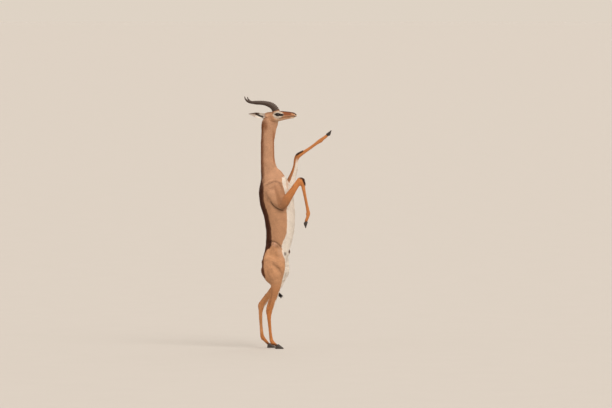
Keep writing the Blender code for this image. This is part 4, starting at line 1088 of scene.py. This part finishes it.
def scatter(mesh, density, count, chooser):
    """Seeded places on the skin, more where density is high: three corners of a face and their weights."""
    mesh.calc_loop_triangles()
    corners = np.empty(len(mesh.loop_triangles) * 3, np.int32)
    mesh.loop_triangles.foreach_get("vertices", corners)
    corners = corners.reshape(-1, 3)
    points = points_of(mesh)
    a, b, c = (points[corners[:, k]] for k in range(3))
    area = 0.5 * np.linalg.norm(np.cross(b - a, c - a), axis=1)
    share = area * density[corners].mean(axis=1)
    total = np.cumsum(share)
    picks = np.searchsorted(total, (np.arange(count) + chooser.uniform(0, 1, count)) / count * total[-1])
    picks = picks.clip(0, len(corners) - 1)
    r1, r2 = chooser.uniform(0, 1, count), chooser.uniform(0, 1, count)
    root = np.sqrt(r1)
    weights = np.stack([1 - root, root * (1 - r2), root * r2], axis=1)
    return corners[picks], weights


def blend_rows(values, corners, weights):
    return (values[corners] * weights[..., None]).sum(axis=1)


COATS = [
    # name, lines, lowest and highest place, side or 0, tufts, length, width, rise
    ("coat_neck", ("trunk",), 1.36, 9.0, 0, 40000, 0.0105, 0.0011, 0.0004),
    ("coat_trunk_right", ("trunk",), 0.0, 1.36, -1, 48000, 0.0125, 0.0013, 0.0004),
    ("coat_trunk_left", ("trunk",), 0.0, 1.36, 1, 48000, 0.0125, 0.0013, 0.0004),
    ("coat_hind_right", ("hind_right",), 0.0, 9.0, 0, 28000, 0.0105, 0.0011, 0.0004),
    ("coat_hind_left", ("hind_left", "tail"), 0.0, 9.0, 0, 30000, 0.0105, 0.0011, 0.0004),
    ("coat_fore", ("fore_right", "fore_left"), 0.0, 9.0, 0, 38000, 0.0090, 0.0010, 0.0004),
    ("coat_head", ("head",), 0.0, 9.0, 0, 38000, 0.0050, 0.0006, 0.0003),
    ("coat_ears", ("ear_right", "ear_left"), 0.0, 9.0, 0, 12000, 0.0055, 0.0006, 0.0004),
]


def bare_places(local):
    """Where the skin has no tufts, from 0 to 1: eyes, glands and the tip of the nose."""
    x, y, z = local[:, 0], np.abs(local[:, 1]), local[:, 2]
    eye = np.sqrt(((x - EYE[0]) / EYE_RADIUS) ** 2 + ((z - EYE[2]) / 0.0105) ** 2)
    gland = np.hypot((x - GLAND[0] + 0.004) / 0.0150, (z - GLAND[1]) / 0.0068)
    bare = np.maximum(fade(eye, 0.9, 1.1) * (y > 0.02), fade(gland, 0.8, 1.0) * (y > 0.014))
    return np.maximum(bare, (x > 0.145) * 1.0)


def rooted(skin, density, count, chooser, points, normals, lie):
    """Places for hair: their corners on the skin with weights, points, normals and the way the hair lies."""
    corners, weights = scatter(skin.data, density, count, chooser)
    normal = unit(blend_rows(normals, corners, weights))
    return corners, weights, blend_rows(points, corners, weights), normal, blend_rows(lie, corners, weights)


def build_coat(skin, data):
    """Short tufts over the whole skin, in the pieces of the table above."""
    points, normals, place, crease_shade, lie = data
    material = tuft_material()
    chooser = np.random.default_rng(29)
    local = placed(HEAD_BACK, points)
    bare = bare_places(local)
    charts = unwrap(place)
    ear_along, ear_down, _ = ear_frame(local, normals @ HEAD_BACK[:3, :3].T)
    ear_edge = ramp(np.abs(ear_down) / ear_outline(ear_along), 0.80, 1.0)
    ear_edge = ear_edge * on_line(place, "ear_right", "ear_left")
    for name, lines, low, high, side, count, length, width, rise in COATS:
        own_side = np.ones(len(points)) if side == 0 else points[:, 1] * side > 0
        within = (points[:, 2] >= low) * (points[:, 2] < high) * own_side
        density = on_line(place, *lines) * (1 - bare) * within
        corners, weights, root, normal, flow = rooted(skin, density, count, chooser, points, normals, lie)
        first = corners[:, 0]
        own = {key: value[first] for key, value in place.items()}
        # The tufts are darkened by the same painted crease shade as the skin.
        hue = coat_colour(root, normal, own) * (1 - (crease_shade[corners] * weights).sum(axis=1))[:, None]
        # Shorter on the lower legs, the ears' edges and the muzzle, longer on the belly and chest.
        size = length * (1 - 0.30 * (own["radius"] < 0.018)) * (1 - 0.60 * ear_edge[first])
        near = placed(HEAD_BACK, root)
        size *= 1 - 0.40 * ramp(near[:, 0], 0.06, 0.13) * (near[:, 2] > 1.79)
        white = hue.min(axis=1) > 0.45
        size *= 1 + 0.30 * (white & (root[:, 2] < 1.5) & (own["radius"] > 0.03))
        wide = size / length * width
        flat = level(flow, normal)
        build_tufts(name, root + SHIFT, normal, flat, hue, charts[first], size, wide, rise, material)
    return material


def build_locks(name, starts, ends, normals, colour, thick, material, bend=0.15):
    """Long locks as closed tapering tubes of four sides, each bent a little."""
    count = len(starts)
    along = ends - starts
    length = np.linalg.norm(along, axis=1)[:, None]
    ahead = along / length
    side = unit(np.cross(ahead, normals))
    up = np.cross(side, ahead)
    curve = rng.normal(0, bend, count)[:, None] * length
    rings = []
    for t, wide in ((0.0, 0.7), (0.25, 1.0), (0.55, 0.8), (0.85, 0.38)):
        centre = starts + along * t + side * curve * t * t + up * length * 0.06 * math.sin(math.pi * t)
        for a, b in ((1, 0), (0, 0.5), (-1, 0), (0, -0.5)):
            rings.append(centre + (side * a + up * b) * thick * wide)
    points = np.stack(rings + [ends + side * curve], axis=1)
    pattern = [(0, 1, 2), (0, 2, 3)]
    for a, b, c, d in bands(4, 4):
        pattern += [(a, c, b), (a, d, c)]
    pattern += [(12 + j, 16, 12 + (j + 1) % 4) for j in range(4)]
    tones = np.repeat([0.8, 0.9, 1.0, 1.1, 1.15], [4, 4, 4, 4, 1])[None, :]
    shade = tones * rng.normal(1.0, 0.10, count)[:, None]
    spread = [(math.cos(k * 1.57), math.sin(k * 1.57)) for k in range(16)] + [(0, 0)]
    out = points - points.mean(axis=1, keepdims=True)
    out -= ahead[:, None, :] * (out * ahead[:, None, :]).sum(axis=2, keepdims=True)
    shading = unit(out + 1e-6 * up[:, None, :]) + normals[:, None, :] * 0.6
    charts = unwrap(locate(starts - SHIFT))
    return mesh_of(name, points, pattern, shading, colour * shade[..., None], charts, spread, material)


def build_tail_tuft(material):
    """The short black brush at the end of the tail."""
    count = 420
    start, end = np.array((-0.018, 0.0, 0.457)), np.array((0.022, 0.0, 0.420))
    down = unit(end - start)
    side = np.array((0.0, 1.0, 0.0))
    t = rng.uniform(0, 1, count)[:, None]
    angle = rng.uniform(0, 2 * math.pi, count)[:, None]
    out = side * np.cos(angle) + np.cross(side, down) * np.sin(angle)
    root = start + (end - start) * t + out * 0.0045 + SHIFT
    lean = unit(down + out * rng.uniform(0.05, 0.30, count)[:, None] + np.array((0, 0, -0.12)))
    length = rng.uniform(0.026, 0.048, count)[:, None] * (1.05 - 0.25 * t)
    build_locks("coat_tail_tuft", root, root + lean * length, out, BLACK, 0.0011, material)


def build_knee_brushes(skin, data, material):
    """Longer dark hair on the fronts of the fore knees."""
    points, normals, place, _, lie = data
    chooser = np.random.default_rng(41)
    count = 520
    mask = knee_patch(points, normals, place, (0.022, 0.036), (0.3, 0.6))
    _, _, root, normal, flow = rooted(skin, mask, count, chooser, points, normals, lie)
    lean = unit(flow + normal * chooser.uniform(0.22, 0.42, count)[:, None])
    length = chooser.uniform(0.012, 0.019, count)[:, None]
    start = root - normal * 0.0008 + SHIFT
    build_locks("coat_knee_brushes", start, start + lean * length, normal, BRUSH, 0.0009, material)


def horn_material():
    """Horn: dark in the valleys, paler on the rings, with grain along it."""
    made, tree, shader = new_material("horn")
    grain = noise(tree, stretched(tree, attribute(tree, "along", "Vector"), (16.0, 16.0, 1.2)), 6.0, 4.0, 0.6)
    inputs = {"Factor": attribute(tree, "ridge"), 6: (*HORN_DARK, 1), 7: (*HORN_PALE, 1)}
    pale = node(tree, "ShaderNodeMix", inputs, data_type="RGBA")
    pale_out = [o for o in pale.outputs if o.type == "RGBA"][0]
    colour = shaded(tree, pale_out, scaled(tree, grain, 0.9, 0.55))
    feed(tree, shader, colour, scaled(tree, grain, 0.30, 0.34), grain, 0.5, 0.0012)
    return made


def horn_form(side):
    """Points, faces, ring heights and grain coordinates of one ringed horn, in the head's frame."""
    rings, sides, rounds = 250, 36, 20
    rows = smooth_rows(HORN, 30)
    length = np.concatenate([[0], np.cumsum(np.linalg.norm(np.diff(rows[:, :3], axis=0), axis=1))])
    even = np.linspace(0, length[-1], rings)
    rows = np.stack([np.interp(even, length, rows[:, k]) for k in range(5)], axis=1)
    spine = rows[:, [0, 2, 1]] * (1, side, 1)
    ahead = unit(np.gradient(spine, axis=0))
    points, ridges, grain = [], [], []
    for k in range(rings):
        t = k / (rings - 1)
        wide, deep = cross_axes(ahead[k])
        phase = rounds * (t / 0.80) ** 1.08
        for j in range(sides):
            angle = 2 * math.pi * j / sides
            # The rings are strongest on the front and lean a little round the horn.
            shift = phase + 0.10 * math.cos(angle) + 0.05 * math.sin(3 * angle)
            wave = 0.5 + 0.5 * math.cos(2 * math.pi * shift)
            strength = max(0.0, 1 - (t / 0.78) ** 4) * (0.62 + 0.38 * math.cos(angle))
            swell = 0.960 + 0.115 * strength * wave**2 + 0.006 * math.sin(5 * angle + 9 * t)
            radius = deep * rows[k, 3] * math.cos(angle) + wide * rows[k, 4] * math.sin(angle)
            points.append(spine[k] + radius * swell)
            ridges.append(wave**2 * strength * 0.65 + 0.12 + 0.15 * ramp(np.array(t), 0.6, 1.0))
            grain.append((math.cos(angle), math.sin(angle), t * 12))
    last, end = len(points), (rings - 1) * sides
    points.append(spine[-1] + ahead[-1] * 0.0022)
    ridges.append(0.3)
    grain.append((0, 0, 12))
    faces = bands(rings, sides) + [(end + j, end + (j + 1) % sides, last) for j in range(sides)]
    return np.array(points), faces + [tuple(range(sides))[::-1]], ridges, grain


def build_horns():
    """Ringed horns that bend back and turn up at the tips."""
    made = horn_material()
    for name, side in SIDES.items():
        points, faces, ridges, grain = horn_form(side)
        horn = new_object("ringed_horn_" + name, placed(HEAD, points) + SHIFT, faces)
        outward(horn.data)
        set_value(horn.data, "ridge", np.array(ridges, float))
        set_vector(horn.data, "along", np.array(grain, float))
        horn.data.materials.append(made)
        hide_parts("horn_" + name)
        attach(horn, "root")


def outward(mesh):
    """Turns the faces of a closed mesh outwards."""
    bm = bmesh.new()
    bm.from_mesh(mesh)
    bmesh.ops.recalc_face_normals(bm, faces=bm.faces)
    bm.to_mesh(mesh)
    bm.free()


def eye_material():
    """Dark brown iris with fine rays, a wide level pupil and a wet surface."""
    made, tree, shader = new_material("eye", rough=0.12, specular=0.2, coat=0.35, coat_rough=0.03)
    gaze = attribute(tree, "gaze", "Vector")
    split = node(tree, "ShaderNodeSeparateXYZ", {0: gaze})
    across, up = split.outputs[0], split.outputs[2]

    def cubed(value, half):
        size = maths(tree, "ABSOLUTE", maths(tree, "MULTIPLY", value, 1 / half))
        return maths(tree, "POWER", size, 3.0)

    pupil = maths(tree, "POWER", maths(tree, "ADD", cubed(across, PUPIL[0]), cubed(up, PUPIL[1])), 1 / 3.0)
    squares = [maths(tree, "MULTIPLY", value, value) for value in (across, up)]
    out = maths(tree, "MULTIPLY", maths(tree, "SQRT", maths(tree, "ADD", *squares)), 1 / IRIS_RADIUS)
    rays = noise(tree, stretched(tree, gaze, (1600.0, 200.0, 1600.0)), 1.0, 3.0)
    iris = between(tree, scaled(tree, rays, 0.25, out), (0.35, IRIS_MIDDLE), (1.10 / 1.2, IRIS_RIM))
    iris.color_ramp.elements.new(0.70).color = (*IRIS, 1)
    inside = node(tree, "ShaderNodeMapRange", {"Value": pupil, "From Min": 0.90, "From Max": 1.08}).outputs[0]
    mixed = node(tree, "ShaderNodeMix", {"Factor": inside}, data_type="RGBA")
    mixed.inputs[6].default_value = (*PUPIL_BLACK, 1)
    tree.links.new(iris.outputs[0], mixed.inputs[7])
    feed(tree, shader, [o for o in mixed.outputs if o.type == "RGBA"][0])
    return made


def lid_material():
    """Dark bare skin of the lid's edge."""
    made, tree, shader = new_material("lid_edge", rough=0.35)
    grain = noise(tree, object_place(tree), 1400.0, 3.0)
    tone = between(tree, grain, (0.0, LID_DARK), (1.0, LID_PALE))
    feed(tree, shader, tone.outputs[0], None, grain, 0.4, 0.0005)
    return made


def eyeball_form():
    """Points round the middle and faces of an eyeball that bulges at the cornea."""
    rings, sides = 28, 48
    points = []
    for k in range(1, rings):
        polar = math.pi * k / rings
        out = math.sin(polar)
        bulge = CORNEA * fade(np.array(out * BALL_RADIUS), 0.004, 0.0115) if polar < math.pi / 2 else 0.0
        for j in range(sides):
            turn = 2 * math.pi * j / sides
            way = np.array((out * math.cos(turn), math.cos(polar), out * math.sin(turn)))
            points.append(way * (BALL_RADIUS + bulge))
    first, last, end = len(points), len(points) + 1, (rings - 2) * sides
    points += [np.array((0, BALL_RADIUS + CORNEA, 0)), np.array((0, -BALL_RADIUS, 0))]
    faces = bands(rings - 1, sides) + [(first, (j + 1) % sides, j) for j in range(sides)]
    return np.array(points), faces + [(last, end + j, end + (j + 1) % sides) for j in range(sides)]


def lid_form():
    """A fine roll on the eyeball along the almond of the opening."""
    turns, around = 72, 10
    points = []
    for k in range(turns):
        a = 2 * math.pi * k / turns
        c, s = math.cos(a), math.sin(a)
        x = LID[0] * c * (1 + 0.05 * math.cos(2 * a)) + 0.0006
        z = LID[1] * s * (1 - 0.16 * abs(c) ** 3) - 0.0010 * c
        y = math.sqrt(max(BALL_RADIUS**2 - x * x - z * z, 1e-6))
        middle = np.array((x, y, z)) * (1 + 0.0005 / BALL_RADIUS)
        out = unit(middle)
        run = np.array((-LID[0] * s, 0, LID[1] * c))
        away = np.cross(out, unit(run - out * (run @ out)))
        for j in range(around):
            b = 2 * math.pi * j / around
            points.append(middle + (out * math.cos(b) * 0.0011 + away * math.sin(b) * 0.0015))
    return np.array(points), bands(turns, around, closed=True)


def build_eyes():
    """Eyeballs with a raised cornea, and the dark edge of the lids on them."""
    eye, rim = eye_material(), lid_material()
    for name, side in SIDES.items():
        centre, mirror = EYE * (1, side, 1), (1, side, 1)
        points, faces = eyeball_form()
        ball = new_object("eyeball_" + name, placed(HEAD, centre + points * mirror) + SHIFT, faces)
        outward(ball.data)
        set_vector(ball.data, "gaze", points)
        ball.data.materials.append(eye)
        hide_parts("eye_" + name)
        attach(ball, "root")
        points, faces = lid_form()
        lid = new_object("lid_edge_" + name, placed(HEAD, centre + points * mirror) + SHIFT, faces)
        outward(lid.data)
        lid.data.materials.append(rim)
        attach(lid, "root")


# Standing feet: heel x, side. Raised feet: coronet, toe and sole direction.
HIND_HEELS = {"right": -0.014, "left": -0.078}
RAISED_FEET = {
    "right": ((0.228, -0.080, 1.000), (0.214, -0.079, 0.953), (-0.95, 0.0, 0.30)),
    "left": ((0.392, 0.052, 1.671), (0.432, 0.050, 1.701), (0.62, 0.0, -0.78)),
}
HOOF_LENGTH, HOOF_HEIGHT, CLAW_WIDTH = 0.066, 0.036, 0.0195
FORE_SHARE = 0.78  # size of the forefeet's hooves as a share of the hind ones
RING_STEP, RING_HEIGHT = 0.0034, 0.00022
# Shares of a claw's length, height and width from the heel to the toe.
CLAW = [
    (0.00, 0.28, 0.40), (0.015, 0.48, 0.58), (0.05, 0.66, 0.74), (0.12, 0.82, 0.90), (0.22, 0.94, 0.98),
    (0.35, 1.00, 1.02), (0.46, 0.93, 1.01), (0.58, 0.78, 0.98), (0.70, 0.61, 0.91), (0.80, 0.46, 0.80),
    (0.89, 0.33, 0.62), (0.96, 0.22, 0.42), (1.00, 0.12, 0.22),
]


def claw_places():
    """The frame of each foot's pair of claws, as in the part's source."""
    places = {}
    for name, side in SIDES.items():
        places["hind_" + name] = Matrix.Translation((HIND_HEELS[name], side * HIND_STANCE, 0.0))
        heel, toe, up = (Vector(v) for v in RAISED_FEET[name])
        ahead = (toe - heel).normalized()
        up = (up - ahead * up.dot(ahead)).normalized()
        turn = Matrix((ahead, up.cross(ahead), up)).transposed().to_4x4()
        places["fore_" + name] = Matrix.Translation(heel - up * 0.014) @ turn @ Matrix.Scale(FORE_SHARE, 4)
    return places


def claw(outer):
    """One claw: a flat worn sole and steep walls with growth rings that curve in to a blunt toe."""
    rows = smooth_rows([(*row, 0) for row in CLAW], 4)
    points, walls = [], []
    around = 28
    for t, high, wide, _ in rows:
        half, tall = 0.5 * CLAW_WIDTH * wide, HOOF_HEIGHT * high
        middle = outer * (0.5 * CLAW_WIDTH + 0.0006 - 0.0030 * max(0.0, t - 0.5))
        for j in range(around):
            angle = 2 * math.pi * j / around
            c, s = math.cos(angle), math.sin(angle)
            y = half * math.copysign(abs(c) ** 0.75, c)
            # The wall stands steep on the inside and slopes out a little on the outside.
            z = tall * (0.10 + 0.90 * abs(s) ** 0.8) if s > 0 else tall * 0.10 * (1 - abs(s) ** 0.5)
            flare = 1 + 0.05 * (1 - z / HOOF_HEIGHT) * (c * outer > 0)
            below = (0.46 + 1.15 * t) * HOOF_HEIGHT - z
            ring = RING_HEIGHT * math.sin(below * 2 * math.pi / RING_STEP) * ramp(np.array(s), 0.05, 0.3)
            z = max(z + ring * max(s, 0), 0.0)
            points.append((t * HOOF_LENGTH + ring * 0.4, middle + y * flare + ring * c, z))
            walls.append(below / HOOF_HEIGHT)
    return points, bands(len(rows), around) + end_faces(len(rows), around), walls


def hoof_material():
    """Dark horn with faint growth rings."""
    made, tree, shader = new_material("hoof")
    grain = noise(tree, object_place(tree), 260.0, 4.0, 0.6)
    turns = scaled(tree, attribute(tree, "wall"), 26.0, maths(tree, "MULTIPLY", grain, 2.2))
    rings = scaled(tree, maths(tree, "SINE", turns), 0.5, 0.5)
    share = scaled(tree, rings, 0.10, maths(tree, "MULTIPLY", grain, 0.90))
    tone = between(tree, share, (0.30, HOOF_DARK), (0.80, HOOF_PALE))
    feed(tree, shader, tone.outputs[0], scaled(tree, grain, 0.3, 0.32), rings, 0.18, 0.0004)
    return made


def build_hooves():
    """Two toed hooves with growth rings, a little worn along the sole."""
    made = hoof_material()
    places = claw_places()
    for foot in ("hind", "fore"):
        for name in SIDES:
            points, faces, walls = [], [], []
            for outer in (-1, 1):
                own, own_faces, own_walls = claw(outer)
                faces += [tuple(i + len(points) for i in face) for face in own_faces]
                points += [Vector(p) for p in own]
                walls += own_walls
            place = places[foot + "_" + name]
            points = [Vector(SHIFT) + place @ p for p in points]
            obj = new_object("hooves_%s_%s" % (foot, name), points, faces)
            outward(obj.data)
            set_value(obj.data, "wall", np.array(walls))
            obj.data.materials.append(made)
            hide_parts(*["claw_%s_%s_%s" % (foot, name, which) for which in ("inner", "outer")])
            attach(obj, "root")


CAMERA_AIM = Vector((0.142, 0.0068, 1.134))
CAMERA_DISTANCE = 50.0
CAMERA_HEIGHT = 2.0  # degrees


def seen_from(azimuth, height):
    """The unit vector towards an azimuth, from the front of the view, and a height, both in degrees."""
    turn, lift = math.radians(azimuth), math.radians(height)
    return Vector((math.sin(turn) * math.cos(lift), -math.cos(turn) * math.cos(lift), math.sin(lift)))


def stand(name, data, way):
    """Links a light or camera whose back faces the given way."""
    obj = linked(name, data)
    obj.rotation_mode = "QUATERNION"
    obj.rotation_quaternion = way.to_track_quat("Z", "Y")
    return obj


def build_stage():
    """Pale floor, soft lights and the camera at the photograph's angle."""
    floor_material, tree, shader = new_material("floor", rough=0.9, specular=0.1)
    mottle = noise(tree, object_place(tree), 3.0, 4.0)
    tone = between(tree, mottle, (0.0, (0.540, 0.515, 0.490)), (1.0, (0.562, 0.535, 0.510)))
    feed(tree, shader, tone.outputs[0])
    reach = 400.0
    corners = [(-reach, -reach, 0), (reach, -reach, 0), (reach, reach, 0), (-reach, reach, 0)]
    floor = new_object("floor", corners, [(0, 1, 2, 3)])
    floor.data.materials.append(floor_material)
    world = bpy.data.worlds.new("studio")
    bpy.context.scene.world = world
    world.use_nodes = True
    world.node_tree.nodes["Background"].inputs[0].default_value = (0.735, 0.650, 0.555, 1)
    for name, azimuth, height, power, softness, colour in (
        ("key", 35.0, 42.0, 1.9, 40.0, (1.0, 0.95, 0.88)),
        ("fill", -60.0, 25.0, 0.45, 60.0, (0.94, 0.96, 1.0)),
        ("back", 160.0, 35.0, 0.6, 50.0, (1.0, 0.96, 0.92)),
    ):
        light = bpy.data.lights.new(name, "SUN")
        light.energy = power
        light.angle = math.radians(softness)
        light.color = colour
        stand(name, light, seen_from(azimuth, height))
    camera = bpy.data.cameras.new("camera")
    camera.sensor_width = 36.0
    camera.lens = 374.7
    camera.clip_end = 1000.0
    way = seen_from(0.0, CAMERA_HEIGHT)
    view = stand("camera", camera, way)
    view.location = CAMERA_AIM + CAMERA_DISTANCE * way
    bpy.context.scene.camera = view
    bpy.context.scene.view_settings.view_transform = "Standard"


def main():
    build_stage()
    skin = build_skin()
    data = paint_skin(skin, sculpt(skin))
    skin.data.materials.append(skin_material())
    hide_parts("head", "ear_right", "ear_left", "tail", *FLESH_LOW)
    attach(skin, "root")
    hair = build_coat(skin, data)
    build_tail_tuft(hair)
    build_knee_brushes(skin, data, hair)
    build_horns()
    build_eyes()
    build_hooves()


main()
